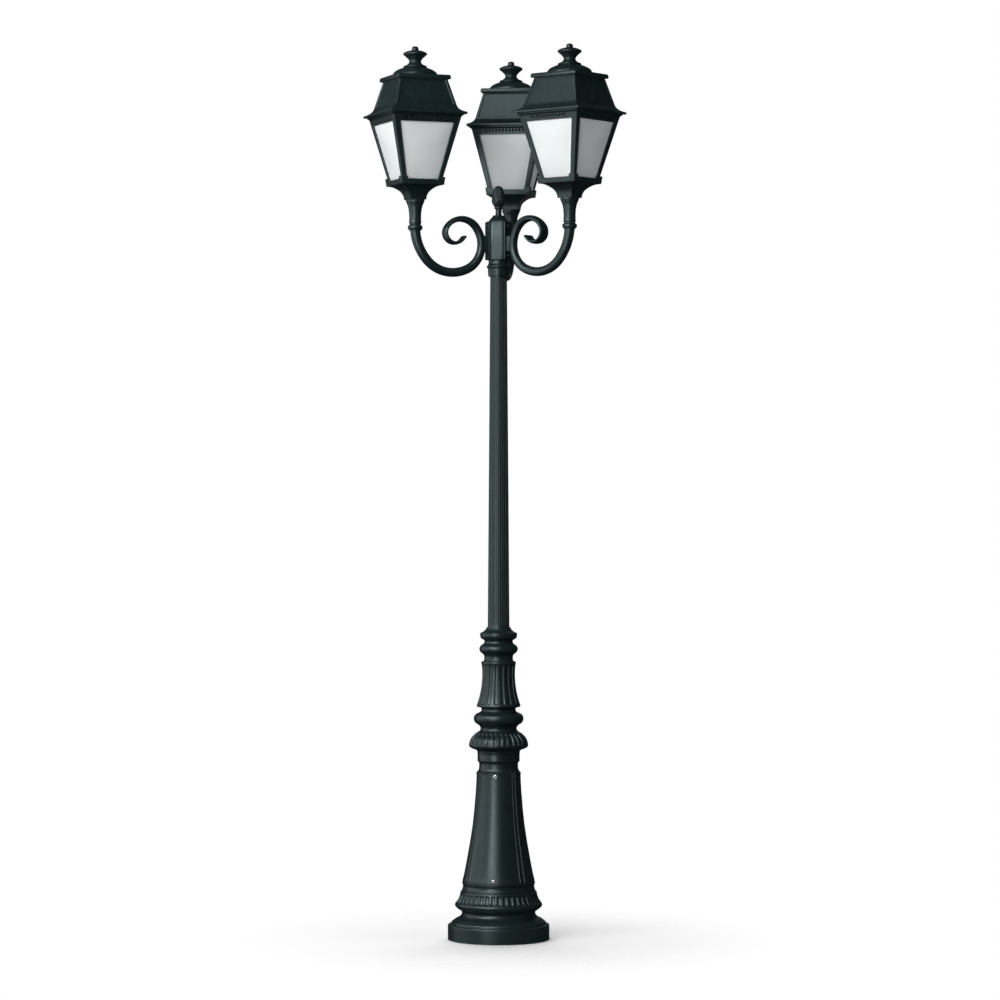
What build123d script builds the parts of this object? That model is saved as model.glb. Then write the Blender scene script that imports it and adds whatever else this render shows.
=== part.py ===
from build123d import *
from math import cos, sin, radians, tan, atan, degrees, pi
import os

# Triple head lamp post, millimetres, +Z up.
# Origin: centre of the base's underside.  The service door looks along -Y.
os.makedirs("parts", exist_ok=True)

# ------------------------------------------------------------------ driving sizes
TOTAL_H = 2500.0            # floor to the lanterns' finial tips
ARM_R = 250.5               # post axis to each lantern's axis
SIDES = {"right": -30.0, "left": 210.0, "rear": 90.0}   # arm directions, degrees

# pedestal, lower casting
PLINTH_R = 142.8
CASTING_WALL = 6.0
DOOR_Z0, DOOR_Z1 = 163.0, 470.0
DOOR_HALF_ANGLE = 50.2
DOOR_GAP_DEG = 0.45
DOOR_SCREW_Z = (170.5, 460.0)
DOOR_SEATS = ((170.5, 99.4), (460.0, 61.3))
BASE_TOP_Z = 530.0

# pedestal, upper casting
POLE_SEAT_Z = 640.0
COLLAR_TOP_Z = 878.0

# pole
POLE_R0, POLE_R1 = 30.5, 23.6
POLE_Z1 = 1864.0
POLE_BORE_R = 17.0

# hub
HUB_Z0, HUB_Z1 = 1910.0, 2016.0
HUB_APOTHEM = 30.0
HUB_WALL = 4.0
PLATE_T = 5.0
PLATE_W, PLATE_Z0, PLATE_Z1 = 32.0, 1909.5, 2017.0
WIRE_Z = 1961.95
WIRE_BORE_R = 6.3

# arm centre line: arcs (radius, length), each tangent to the last, turning inwards
ARM_START_Z = 1996.0
ARM_ARCS = [
    (133.64, 82.81), (202.36, 12.01), (97.40, 64.04), (105.99, 72.61),
    (74.45, 56.28), (79.94, 85.13), (53.90, 98.51), (28.40, 81.26), (47.70, 16.36),
]

# the wire way stops where the line first runs straight up, beside the hub
WIRE_ARCS = ARM_ARCS[:5] + [(79.94, radians(270.0 - 90.0 - sum(degrees(n / r) for r, n in ARM_ARCS[:5])) * 79.94)]

# lantern, heights above the floor and half widths of its squares
NECK_TOP_Z = 2072.0
TRAY_Z0, TRAY_Z1 = 2111.0, 2132.4
TRAY_H0, TRAY_H1 = 63.0, 65.7
FRAME_Z0, FRAME_Z1 = 2115.0, 2304.6
FRAME_LEAN = 0.2370
FRAME_H_REF, FRAME_Z_REF = 61.1, 2132.4
FRAME_T = 4.0
WIN_Z0, WIN_Z1 = 2125.3, 2281.0
WIN_W0, WIN_W1 = 46.0, 78.6
PANE_T = 3.0
EAVE_Z = 2305.0
ROOF_TOP_Z = 2403.7
ROOF_SCREW_H = 97.5
ROOF_SCREW_SEAT = 2317.8
CAP_TOP_Z = 2415.5

LEAN = degrees(atan(FRAME_LEAN))
CL = cos(radians(LEAN))
SL = sin(radians(LEAN))


# ------------------------------------------------------------------ helpers
def level(deg, rho=0.0, z=0.0):
    """Level plane on the arm's direction, x pointing away from the post."""
    a = radians(deg)
    return Plane(origin=(rho * cos(a), rho * sin(a), z), x_dir=(cos(a), sin(a), 0), z_dir=(0, 0, 1))


def upright(deg, rho=0.0, z=0.0):
    """Upright plane along the arm's direction: x away from the post, y up."""
    a = radians(deg)
    return Plane(origin=(rho * cos(a), rho * sin(a), z), x_dir=(cos(a), sin(a), 0), z_dir=(sin(a), -cos(a), 0))


def outward(deg, rho, z, along=0.0):
    """Upright plane facing away from the post: x across the arm, y up."""
    a = radians(deg)
    return Plane(origin=(rho * cos(a) - along * sin(a), rho * sin(a) + along * cos(a), z),
                 x_dir=(-sin(a), cos(a), 0), z_dir=(cos(a), sin(a), 0))


def outline(points, plane):
    """Closed face through points of a plane."""
    with BuildSketch(plane) as s:
        with BuildLine():
            Polyline(*points, close=True)
        make_face()
    return s.sketch


def square(half, plane):
    with BuildSketch(plane) as s:
        Rectangle(2 * half, 2 * half)
    return s.sketch


def disc(r, plane):
    with BuildSketch(plane) as s:
        Circle(r)
    return s.sketch


def hexagon(apothem, plane, turn=30.0):
    with BuildSketch(plane) as s:
        RegularPolygon(radius=apothem, side_count=6, major_radius=False, rotation=turn)
    return s.sketch


def flat_on(deg, along, h, z):
    """Plane lying on a leaning lantern face: x across it, y up its slope."""
    cx, cy = ARM_R * cos(radians(deg)), ARM_R * sin(radians(deg))
    a = radians(deg + along)
    return Plane(origin=(cx + h * cos(a), cy + h * sin(a), z), x_dir=(-sin(a), cos(a), 0),
                 z_dir=(CL * cos(a), CL * sin(a), -SL))


def frame_h(z):
    return FRAME_H_REF + FRAME_LEAN * (z - FRAME_Z_REF)


def lantern_axis(deg):
    return Axis((ARM_R * cos(radians(deg)), ARM_R * sin(radians(deg)), 0), (0, 0, 1))


def arc_run(arcs):
    """Starts of a chain of tangent arcs in the arm's plane, then its end: x, y, heading, radius, turn."""
    x, y, h, run = ARM_R, ARM_START_Z, -90.0, []
    for radius, length in arcs:
        turn = degrees(length / radius)
        run.append((x, y, h, radius, turn))
        h0, h1 = radians(h), radians(h - turn)
        x += radius * (sin(h0) - sin(h1))
        y -= radius * (cos(h0) - cos(h1))
        h -= turn
    run.append((x, y, h, 0.0, 0.0))
    return run


def finish(piece, name):
    piece.part.label = name
    export_step(piece.part, "parts/" + name + ".step")


# ------------------------------------------------------------------ pedestal, lower casting
foot_profile = [
    (142.8, 0), (142.8, 38.5), (141.6, 41.5), (139.0, 43.6), (135.6, 44.8), (133.6, 47.6),
    (131.6, 49.4), (130.3, 52.2), (126.0, 55.0), (120.0, 58.0), (113.0, 61.6), (107.6, 65.6),
    (104.6, 69.8), (103.2, 74.2), (104.2, 79.0), (108.0, 81.8), (113.0, 84.8), (118.0, 88.8),
    (121.4, 92.4), (122.9, 97.0), (121.8, 101.3), (118.4, 105.6), (115.0, 110.0), (112.6, 114.5),
    (110.5, 120.0), (108.8, 125.0), (107.9, 130.0), (106.5, 133.5), (104.2, 136.2), (101.6, 140.5),
    (100.3, 146.0), (99.8, 151.0), (100.8, 155.5), (102.3, 159.5), (102.3, 163.0),
]
shaft_profile = [
    (102.3, 163.0), (101.3, 167.0), (98.8, 176.0), (96.2, 188.0), (93.4, 202.0), (90.9, 215.0),
    (88.0, 231.0), (85.4, 246.0), (82.8, 260.0), (80.2, 275.0), (77.8, 290.0), (75.4, 306.0),
    (73.2, 321.0), (71.6, 335.0), (69.8, 352.0), (68.1, 368.0), (66.9, 384.0), (65.5, 400.0),
    (64.3, 415.0), (63.4, 430.0), (62.6, 445.0), (62.2, 455.0), (61.9, 463.0), (61.4, 470.0),
]
neck_profile = [
    (61.4, 470.0), (59.4, 472.0), (57.4, 474.4), (55.8, 477.5), (55.1, 481.0), (55.0, 495.0),
    (56.0, 497.6), (58.4, 499.6), (59.3, 502.0), (59.3, 520.0), (60.0, 525.0), (60.6, BASE_TOP_Z),
]
foot_inner = [(34.0, BASE_TOP_Z), (34.0, 519.0), (49.0, 519.0), (49.0, 481.0), (55.4, 463.0)]
shaft_inner = [(r - CASTING_WALL, z) for r, z in reversed(shaft_profile[:-2])]
plinth_inner = [(94.0, 155.0), (93.5, 136.0), (101.0, 124.0), (101.5, 112.0), (97.0, 82.0), (97.0, 50.0),
                (118.0, 37.0), (134.0, 36.0), (134.0, 0.0)]


def wedge(half_angle, r, plane):
    """Slice of a disc about the -Y direction."""
    a = radians(half_angle)
    return outline([(0, 0), (-r * sin(a), -r * cos(a)), (-r * 0.5 * sin(a), -r * 1.35), (r * 0.5 * sin(a), -r * 1.35),
                    (r * sin(a), -r * cos(a))], plane)


with BuildPart() as base_casting:
    revolve(outline(foot_profile + shaft_profile[1:] + neck_profile[1:] + foot_inner + shaft_inner + plinth_inner,
                    Plane.XZ), axis=Axis.Z)
    # door opening
    extrude(wedge(DOOR_HALF_ANGLE, 150.0, Plane.XY.offset(DOOR_Z0)), amount=DOOR_Z1 - DOOR_Z0, mode=Mode.SUBTRACT)
    # lugs behind the door's two screws
    with BuildSketch(Plane(origin=(0, -49.0, 468.0), x_dir=(1, 0, 0), z_dir=(0, 0, 1))):
        Rectangle(20, 9)
    extrude(amount=-15.0)
    with BuildSketch(Plane(origin=(0, -49.0, 468.0), x_dir=(1, 0, 0), z_dir=(0, 0, 1))):
        Rectangle(20, 9)
    extrude(amount=18.0)
    with BuildSketch(Plane(origin=(0, -84.0, 148.0), x_dir=(1, 0, 0), z_dir=(0, 0, 1))):
        Rectangle(20, 12)
    extrude(amount=34.0)
    with BuildSketch(Plane(origin=(0, -88.0, 162.6), x_dir=(1, 0, 0), z_dir=(0, 0, 1))):
        Rectangle(20, 18)
    extrude(amount=-18.0)
    for z in DOOR_SCREW_Z:
        with Locations(Plane(origin=(0, -150.0, z), x_dir=(1, 0, 0), z_dir=(0, -1, 0))):
            Hole(radius=3.35, depth=112.0 if z > 300 else 72.0)
    # foot lugs for the bolts into the anchor flange
    with BuildSketch(Plane.XY.offset(8.0)):
        with PolarLocations(116.5, 4):
            Rectangle(37, 26)
        Circle(96.0, mode=Mode.SUBTRACT)
        Circle(138.0, mode=Mode.INTERSECT)
    extrude(amount=12.0)
    with Locations(Plane.XY.offset(20.0)):
        with PolarLocations(112.0, 4):
            Hole(radius=4.2, depth=13.0)
    # bolt holes in the top flange
    with Locations(Plane.XY.offset(BASE_TOP_Z)):
        with PolarLocations(42.5, 4, start_angle=45):
            Hole(radius=4.1, depth=12.0)
finish(base_casting, "base_casting")

# curved service door with its two countersunk seats
door_outer = [(p[0], p[1]) for p in shaft_profile[:-1]] + [(61.4, 469.4)]
door_outer[0] = (102.2, DOOR_Z0 + 0.6)
door_inner = [(r - 5.4, z) for r, z in reversed(door_outer)]
with BuildPart() as access_door:
    revolve(outline(door_outer + door_inner, Plane.XZ), axis=Axis.Z)
    with BuildSketch(Plane.XY.offset(DOOR_Z0)) as door_wedge:
        add(wedge(DOOR_HALF_ANGLE - DOOR_GAP_DEG, 150.0, Plane.XY.offset(DOOR_Z0)))
    extrude(amount=DOOR_Z1 - DOOR_Z0, mode=Mode.INTERSECT)
    for z in DOOR_SCREW_Z:
        with Locations(Plane(origin=(0, -150.0, z), x_dir=(1, 0, 0), z_dir=(0, -1, 0))):
            Hole(radius=3.1, depth=120.0)
    for z, face in DOOR_SEATS:
        extrude(disc(6.1, Plane(origin=(0, -face, z), x_dir=(1, 0, 0), z_dir=(0, -1, 0))), amount=20.0,
                mode=Mode.SUBTRACT)
finish(access_door, "access_door")

# door screws: round heads with a hex socket
with BuildPart() as door_screws:
    for z, face in DOOR_SEATS:
        head = Plane(origin=(0, -face, z), x_dir=(1, 0, 0), z_dir=(0, -1, 0))
        extrude(disc(5.6, head), amount=2.4)
        extrude(disc(3.0, head), amount=-15.0)
        extrude(hexagon(2.0, head.offset(2.4)), amount=-1.8, mode=Mode.SUBTRACT)
finish(door_screws, "door_screws")

# anchor flange: ring with four ground bolt holes and four tapped holes
with BuildPart() as anchor_flange:
    with BuildSketch():
        Circle(126.0)
        Circle(45.0, mode=Mode.SUBTRACT)
        with PolarLocations(100.0, 4, start_angle=45):
            Circle(7.0, mode=Mode.SUBTRACT)
        with PolarLocations(112.0, 4):
            Circle(4.1, mode=Mode.SUBTRACT)
    extrude(amount=8.0)
finish(anchor_flange, "anchor_flange")

with BuildPart() as base_bolts:
    for k in range(4):
        spot = level(90.0 * k, 112.0, 20.0)
        extrude(hexagon(6.5, spot), amount=5.3)
        extrude(disc(4.0, spot), amount=-19.0)
finish(base_bolts, "base_bolts")

# gear rail: a steel strip with a foot on the anchor flange
with BuildPart() as gear_rail:
    extrude(outline([(46.2, 8.0), (80.0, 8.0), (80.0, 11.0), (49.2, 11.0), (49.2, 400.0), (46.2, 400.0)],
                    Plane.YZ), amount=12.0, both=True)
finish(gear_rail, "gear_rail")

with BuildPart() as fuse_box:
    with BuildSketch(Plane.XY.offset(230.0)):
        with Locations((0, 18.1)):
            Rectangle(52, 56.2)
    extrude(amount=110.0)
    fillet(fuse_box.edges().filter_by(Axis.Z).group_by(Axis.Y)[0], radius=4.0)
finish(fuse_box, "fuse_box")

with BuildPart() as earth_stud:
    stud_seat = Plane(origin=(0, 46.2, 150.0), x_dir=(1, 0, 0), z_dir=(0, -1, 0))
    extrude(disc(4.0, stud_seat), amount=22.0)
    extrude(hexagon(6.5, stud_seat), amount=5.0)
    extrude(disc(8.0, stud_seat.offset(5.0)), amount=1.6)
    extrude(hexagon(6.5, stud_seat.offset(6.6)), amount=5.0)
finish(earth_stud, "earth_stud")

# ------------------------------------------------------------------ pedestal, upper casting
upper_profile = [
    (60.6, 530.0), (65.0, 532.6), (71.2, 534.9), (76.8, 537.4), (81.6, 540.4), (83.3, 544.0), (83.4, 547.5),
    (82.6, 551.5), (81.6, 555.5), (80.2, 560.0), (78.0, 564.4), (75.2, 568.4), (71.6, 572.4), (68.4, 575.4),
    (65.6, 578.0), (61.6, 580.6), (56.8, 583.6), (53.4, 586.4), (51.4, 589.4), (50.9, 592.8), (51.8, 596.6),
    (53.6, 599.6), (56.8, 602.4), (61.6, 605.4), (65.6, 608.4), (68.0, 612.0), (69.6, 616.5), (70.0, 621.0),
    (69.4, 625.4), (67.4, 629.4), (64.2, 632.6), (59.0, 635.6), (53.6, 638.0), (50.0, 640.6), (48.4, 643.6),
    (47.9, 646.4), (49.0, 649.4), (51.6, 651.6), (58.6, 652.8), (61.4, 654.4), (61.6, 656.8),
    (60.4, 661.0), (58.4, 667.4), (56.0, 675.0), (53.6, 684.0), (51.4, 694.0), (49.4, 705.0), (47.8, 717.0),
    (46.7, 730.0), (46.2, 742.0), (46.4, 754.0), (47.0, 764.0), (48.2, 773.0), (48.7, 778.0), (48.2, 780.4),
    (44.0, 781.6), (41.0, 783.4), (40.5, 788.0), (40.5, 794.4), (41.6, 798.6), (44.6, 802.0), (49.0, 805.2),
    (52.2, 809.0), (53.9, 813.6), (54.0, 817.4), (52.6, 822.0), (49.4, 826.0), (45.4, 829.0), (41.8, 831.6),
    (40.2, 834.6), (39.9, 838.0), (41.4, 840.8), (45.2, 843.2), (49.2, 845.8), (51.4, 850.0), (52.1, 855.0),
    (52.0, 860.4), (50.0, 861.6), (45.8, 863.4), (41.6, 866.0), (38.4, 868.8), (35.8, 871.8), (34.2, 874.6),
    (32.4, COLLAR_TOP_Z),
]
upper_bore = [(30.6, COLLAR_TOP_Z), (30.6, POLE_SEAT_Z), (22.0, POLE_SEAT_Z), (22.0, 628.0), (42.0, 628.0),
              (42.0, 546.0), (34.0, 546.0), (34.0, 530.0)]
with BuildPart() as pedestal_upper:
    revolve(outline(upper_profile + upper_bore, Plane.XZ), axis=Axis.Z)
    with Locations(Plane(origin=(0, 0, 530.0), x_dir=(1, 0, 0), z_dir=(0, 0, -1))):
        with PolarLocations(42.5, 4, start_angle=45):
            Hole(radius=4.1, depth=15.0)
finish(pedestal_upper, "pedestal_upper")

with BuildPart() as pedestal_bolts:
    for k in range(4):
        spot = level(45.0 + 90.0 * k, 42.5, 519.0)
        extrude(hexagon(5.6, spot), amount=-5.3)
        extrude(disc(4.0, spot), amount=25.0)
finish(pedestal_bolts, "pedestal_bolts")

# ------------------------------------------------------------------ pole
with BuildPart() as pole:
    revolve(outline([(POLE_BORE_R, 618.0), (21.5, 618.0), (21.5, POLE_SEAT_Z), (POLE_R0, POLE_SEAT_Z),
                     (POLE_R0, 880.0), (POLE_R1, POLE_Z1), (23.3, HUB_Z0), (21.0, HUB_Z0), (21.0, 1926.0),
                     (POLE_BORE_R, 1926.0)], Plane.XZ), axis=Axis.Z)
finish(pole, "pole")

with BuildPart() as pole_nut_lower:
    extrude(hexagon(30.0, Plane.XY.offset(619.0)), amount=9.0)
    extrude(disc(21.6, Plane.XY.offset(619.0)), amount=9.0, mode=Mode.SUBTRACT)
finish(pole_nut_lower, "pole_nut_lower")

with BuildPart() as pole_nut_upper:
    extrude(disc(25.2, Plane.XY.offset(1916.0)), amount=7.5)
    extrude(disc(21.1, Plane.XY.offset(1916.0)), amount=7.5, mode=Mode.SUBTRACT)
    with BuildSketch(Plane.XY.offset(1920.0)):
        with PolarLocations(25.2, 4):
            Rectangle(5, 4)
    extrude(amount=4.0, mode=Mode.SUBTRACT)
finish(pole_nut_upper, "pole_nut_upper")

# supply lead inside the pole, from the fuse box to the terminal block
with BuildPart() as mast_cable:
    extrude(disc(5.0, Plane.XY.offset(340.0)), amount=1926.0 - 340.0)
finish(mast_cable, "mast_cable")

# ------------------------------------------------------------------ hub
with BuildPart() as hub_collar:
    revolve(outline([(24.2, 1864.0), (28.9, 1864.0), (29.3, 1868.0), (30.2, 1882.5), (30.4, 1886.0), (32.6, 1888.4),
                     (33.5, 1890.6), (32.8, 1893.0), (30.6, 1896.0), (28.8, 1899.6), (28.0, 1903.6), (28.4, 1907.4),
                     (29.4, HUB_Z0), (24.2, HUB_Z0)], Plane.XZ), axis=Axis.Z)
finish(hub_collar, "hub_collar")

with BuildPart() as hub_body:
    extrude(hexagon(HUB_APOTHEM, Plane.XY.offset(HUB_Z0), 0.0), amount=HUB_Z1 - HUB_Z0)
    extrude(hexagon(HUB_APOTHEM - HUB_WALL, Plane.XY.offset(HUB_Z0 + 6.0), 0.0), amount=200.0, mode=Mode.SUBTRACT)
    extrude(disc(21.1, Plane.XY.offset(HUB_Z0)), amount=6.0, mode=Mode.SUBTRACT)
    for deg in SIDES.values():
        extrude(disc(WIRE_BORE_R, outward(deg, 0.0, WIRE_Z)), amount=50.0, mode=Mode.SUBTRACT)
        for z in (1922.0, 2005.0):
            extrude(disc(2.7, outward(deg, 0.0, z)), amount=50.0, mode=Mode.SUBTRACT)
finish(hub_body, "hub_body")

with BuildPart() as terminal_block:
    extrude(disc(20.0, Plane.XY.offset(1926.0)), amount=4.0)
    extrude(hexagon(12.0, Plane.XY.offset(1930.0), 0.0), amount=46.0)
finish(terminal_block, "terminal_block")

with BuildPart() as hub_cap:
    extrude(hexagon(25.7, Plane.XY.offset(2010.0), 0.0), amount=6.0)
    extrude(hexagon(HUB_APOTHEM, Plane.XY.offset(HUB_Z1), 0.0), amount=2.6)
    revolve(outline([(0, 2018.0), (28.4, 2018.0), (27.6, 2020.5), (22.6, 2026.4), (17.6, 2031.8), (16.2, 2035.5),
                     (0, 2035.5)], Plane.XZ), axis=Axis.Z)
    with Locations(Plane.XY.offset(2035.5)):
        Hole(radius=5.1, depth=30.0)
finish(hub_cap, "hub_cap")

with BuildPart() as pinecone_finial:
    revolve(outline([(0, 2008.0), (5.0, 2008.0), (5.0, 2035.5), (8.8, 2035.5), (8.7, 2052.5), (11.6, 2054.5),
                     (12.0, 2056.6), (11.4, 2058.6), (14.0, 2063.0), (17.6, 2069.5), (20.2, 2075.4),
                     (19.6, 2079.5), (18.4, 2085.0), (17.2, 2091.0), (16.2, 2097.0), (15.2, 2102.5), (13.2, 2109.0),
                     (10.0, 2114.6), (5.0, 2118.8), (0, 2120.0)], Plane.XZ), axis=Axis.Z)
finish(pinecone_finial, "pinecone_finial")

with BuildPart() as arm_plate_screws:
    for deg in SIDES.values():
        for z in (1922.0, 2005.0):
            seat = outward(deg, HUB_APOTHEM + PLATE_T, z)
            extrude(disc(4.8, seat), amount=3.2)
            extrude(disc(2.6, seat), amount=-8.6)
            extrude(hexagon(2.0, seat.offset(3.2)), amount=-2.0, mode=Mode.SUBTRACT)
finish(arm_plate_screws, "arm_plate_screws")

# hollow fixing studs with their nuts, one through each lantern base into its neck
with BuildPart() as lantern_fixing_studs:
    for deg in SIDES.values():
        extrude(disc(6.5, level(deg, ARM_R, 2030.0)), amount=94.0)
        extrude(hexagon(11.0, level(deg, ARM_R, 2079.0)), amount=6.0)
        extrude(hexagon(11.0, level(deg, ARM_R, 2106.0)), amount=6.0)
        extrude(disc(4.2, level(deg, ARM_R, 2030.0)), amount=94.0, mode=Mode.SUBTRACT)
finish(lantern_fixing_studs, "lantern_fixing_studs")

# ------------------------------------------------------------------ three arms and lanterns
# section half widths along the arm: across it, and in its own plane
ARM_SECTIONS = [(14.45, 14.4), (13.55, 13.5), (13.45, 13.4), (12.85, 12.8), (12.65, 12.6), (12.3, 12.2),
                (12.6, 11.2), (18.0, 6.2), (19.2, 4.9), (19.4, 4.4)]

for side, deg in SIDES.items():
    view = upright(deg)

    def cross_section(index, across, within, share=0.0):
        """Oval across the arm, part way round one of its arcs."""
        x, y, h, radius, turn = arc_run(ARM_ARCS)[index]
        h0 = radians(h)
        h1 = h0 - share * radians(turn)
        x += radius * (sin(h0) - sin(h1))
        y -= radius * (cos(h0) - cos(h1))
        a = radians(deg)
        with BuildSketch(Plane(origin=(x * cos(a), x * sin(a), y), x_dir=(sin(a), -cos(a), 0),
                               z_dir=(cos(h1) * cos(a), cos(h1) * sin(a), sin(h1)))) as s:
            Ellipse(across, within)
        return s.sketch

    # stations round the line, with the section's widths carried evenly along each arc
    stations = []
    for i, (radius, length) in enumerate(ARM_ARCS):
        count = max(1, round(degrees(length / radius) / 14.0))
        (a0, w0), (a1, w1) = ARM_SECTIONS[i], ARM_SECTIONS[i + 1]
        for n in range(count):
            q = n / count
            stations.append((i, a0 + (a1 - a0) * q, w0 + (w1 - w0) * q, q))
    tube_count = sum(1 for st in stations if st[0] < 6)

    with BuildPart() as arm:
        tube_cuts = [cross_section(*st) for st in stations[:tube_count + 1]]
        scroll_cuts = [cross_section(*st) for st in stations[tube_count:]] + [cross_section(9, *ARM_SECTIONS[9])]
        loft(tube_cuts)
        loft(scroll_cuts)
        # boss that meets the plate on the hub
        with BuildSketch(outward(deg, HUB_APOTHEM + PLATE_T, 1954.0)):
            RectangleRounded(22.0, 46.0, 5.0)
        extrude(amount=12.0)
        # wire way: round the bowl, then level into the hub
        with BuildLine(view, mode=Mode.PRIVATE) as wire_line:
            for x, y, h, radius, turn in arc_run(WIRE_ARCS)[:-1]:
                JernArc(start=(x, y), tangent=(cos(radians(h)), sin(radians(h))), radius=radius, arc_size=-turn)
        sweep(sections=disc(WIRE_BORE_R, level(deg, ARM_R, ARM_START_Z)), path=wire_line.wires()[0],
              mode=Mode.SUBTRACT)
        x, y = arc_run(WIRE_ARCS)[-1][:2]
        extrude(disc(WIRE_BORE_R, level(deg, x, y)), amount=10.0, mode=Mode.SUBTRACT)
        extrude(disc(WIRE_BORE_R, outward(deg, 30.0, WIRE_Z)), amount=28.0, mode=Mode.SUBTRACT)
    finish(arm, "arm_" + side)

    # plate between arm and hub
    with BuildPart() as arm_plate:
        with BuildSketch(outward(deg, HUB_APOTHEM, (PLATE_Z0 + PLATE_Z1) / 2)):
            RectangleRounded(PLATE_W, PLATE_Z1 - PLATE_Z0, 5.0)
        extrude(amount=PLATE_T)
        extrude(disc(WIRE_BORE_R, outward(deg, 0.0, WIRE_Z)), amount=50.0, mode=Mode.SUBTRACT)
        for z in (1922.0, 2005.0):
            extrude(disc(2.7, outward(deg, 0.0, z)), amount=50.0, mode=Mode.SUBTRACT)
    finish(arm_plate, "arm_plate_" + side)

    # lead wire from the terminal block, through the arm, to the lamp holder
    with BuildPart() as lead_wire:
        with BuildLine(view) as lead_line:
            Line((ARM_R, 2124.0), (ARM_R, ARM_START_Z))
            for x, y, h, radius, turn in arc_run(WIRE_ARCS)[:-1]:
                JernArc(start=(x, y), tangent=(cos(radians(h)), sin(radians(h))), radius=radius, arc_size=-turn)
            x, y = arc_run(WIRE_ARCS)[-1][:2]
            JernArc(start=(x, y), tangent=(0, 1), radius=10.0, arc_size=90.0)
            Line((x - 10.0, y + 10.0), (12.0, y + 10.0))
        sweep(sections=disc(3.0, level(deg, ARM_R, 2124.0)), path=lead_line.wires()[0])
        wire_way = sum(length for radius, length in WIRE_ARCS) + (2124.0 - ARM_START_Z) + 5.0 * pi + x - 22.0
        print(side, "lead", round(wire_way, 1), "mm, volume share", round(lead_wire.part.volume / (9 * pi * wire_way), 4))
    finish(lead_wire, "lead_wire_" + side)

    # turned neck: bead on the arm's end, waist, flared rim under the lantern
    with BuildPart() as arm_neck:
        neck_pts = [(14.7, 1986.0), (17.2, 1986.4), (17.6, 1988.6), (19.6, 1990.4), (20.6, 1993.4), (20.6, 1996.6),
                    (19.6, 1999.4), (17.0, 2001.4), (15.5, 2003.0), (15.5, 2005.4), (17.4, 2006.6), (17.5, 2009.6),
                    (16.9, 2012.0), (16.7, 2020.0), (16.9, 2030.0), (17.7, 2040.0), (19.2, 2049.0), (21.4, 2057.0),
                    (23.8, 2062.6), (24.2, 2064.4), (25.9, 2065.6), (26.0, 2070.6), (25.0, NECK_TOP_Z),
                    (6.7, NECK_TOP_Z), (6.7, 2028.0), (9.0, 2024.0), (9.0, 1996.0), (14.7, 1996.0)]
        revolve(outline(neck_pts, upright(deg, ARM_R)), axis=lantern_axis(deg))
    finish(arm_neck, "arm_neck_" + side)

    # lantern base: square cove below, shallow tray above, cast in one
    with BuildPart() as lantern_base:
        loft([square(h, level(deg, ARM_R, z)) for h, z in
              ((24.4, NECK_TOP_Z), (26.4, 2083.5), (30.8, 2093.0), (38.6, 2101.0), (48.6, 2107.8), (57.0, 2110.6),
               (59.0, 2112.0))], ruled=True)
        loft([square(TRAY_H0, level(deg, ARM_R, TRAY_Z0)), square(TRAY_H1, level(deg, ARM_R, TRAY_Z1))], ruled=True)
        loft([square(h, level(deg, ARM_R, z)) for h, z in
              ((19.6, 2079.0), (22.0, 2087.0), (26.6, 2096.0), (34.2, 2104.0), (43.0, 2110.0), (50.0, 2115.0))],
             ruled=True, mode=Mode.SUBTRACT)
        loft([square(60.0, level(deg, ARM_R, 2115.0)), square(62.9, level(deg, ARM_R, 2133.0))], ruled=True,
             mode=Mode.SUBTRACT)
        extrude(disc(6.7, level(deg, ARM_R, 2070.0)), amount=12.0, mode=Mode.SUBTRACT)
        for along in (0, 90, 180, 270):
            cx, cy = ARM_R * cos(radians(deg)), ARM_R * sin(radians(deg))
            a = radians(deg + along)
            with BuildSketch(Plane(origin=(cx + 64.0 * cos(a), cy + 64.0 * sin(a), WIN_Z0),
                                   x_dir=(cos(a), sin(a), 0), z_dir=(0, 0, 1))):
                Rectangle(12.0, 2 * WIN_W0)
            extrude(amount=10.0, mode=Mode.SUBTRACT)
    finish(lantern_base, "lantern_base_" + side)

    # leaning frame: posts, sill and vented frieze, with lugs for the roof screws
    with BuildPart() as lantern_frame:
        loft([square(frame_h(FRAME_Z0), level(deg, ARM_R, FRAME_Z0)),
              square(frame_h(FRAME_Z1), level(deg, ARM_R, FRAME_Z1))], ruled=True)
        extrude(square(105.0, level(deg, ARM_R, 2299.6)), amount=FRAME_Z1 - 2299.6)
        for along in (90, 270):
            cx, cy = ARM_R * cos(radians(deg)), ARM_R * sin(radians(deg))
            a = radians(deg + along)
        # hollow
        loft([square(frame_h(FRAME_Z0 - 1) - FRAME_T / CL, level(deg, ARM_R, FRAME_Z0 - 1)),
              square(frame_h(FRAME_Z1 + 1) - FRAME_T / CL, level(deg, ARM_R, FRAME_Z1 + 1))], ruled=True,
             mode=Mode.SUBTRACT)
        # windows
        for along in (0, 90, 180, 270):
            rise = (WIN_Z1 - WIN_Z0) / CL
            extrude(outline([(-WIN_W0, 0), (WIN_W0, 0), (WIN_W1, rise), (-WIN_W1, rise)],
                            flat_on(deg, along, frame_h(WIN_Z0), WIN_Z0)), amount=12.0, both=True, mode=Mode.SUBTRACT)
        # vent slots in the frieze
        for along in (0, 90, 180, 270):
            with BuildSketch(flat_on(deg, along, frame_h(2292.0), 2292.0)):
                with GridLocations(9.6, 0, 13, 1):
                    Rectangle(4.2, 7.6)
            extrude(amount=8.0, both=True, mode=Mode.SUBTRACT)
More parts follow.
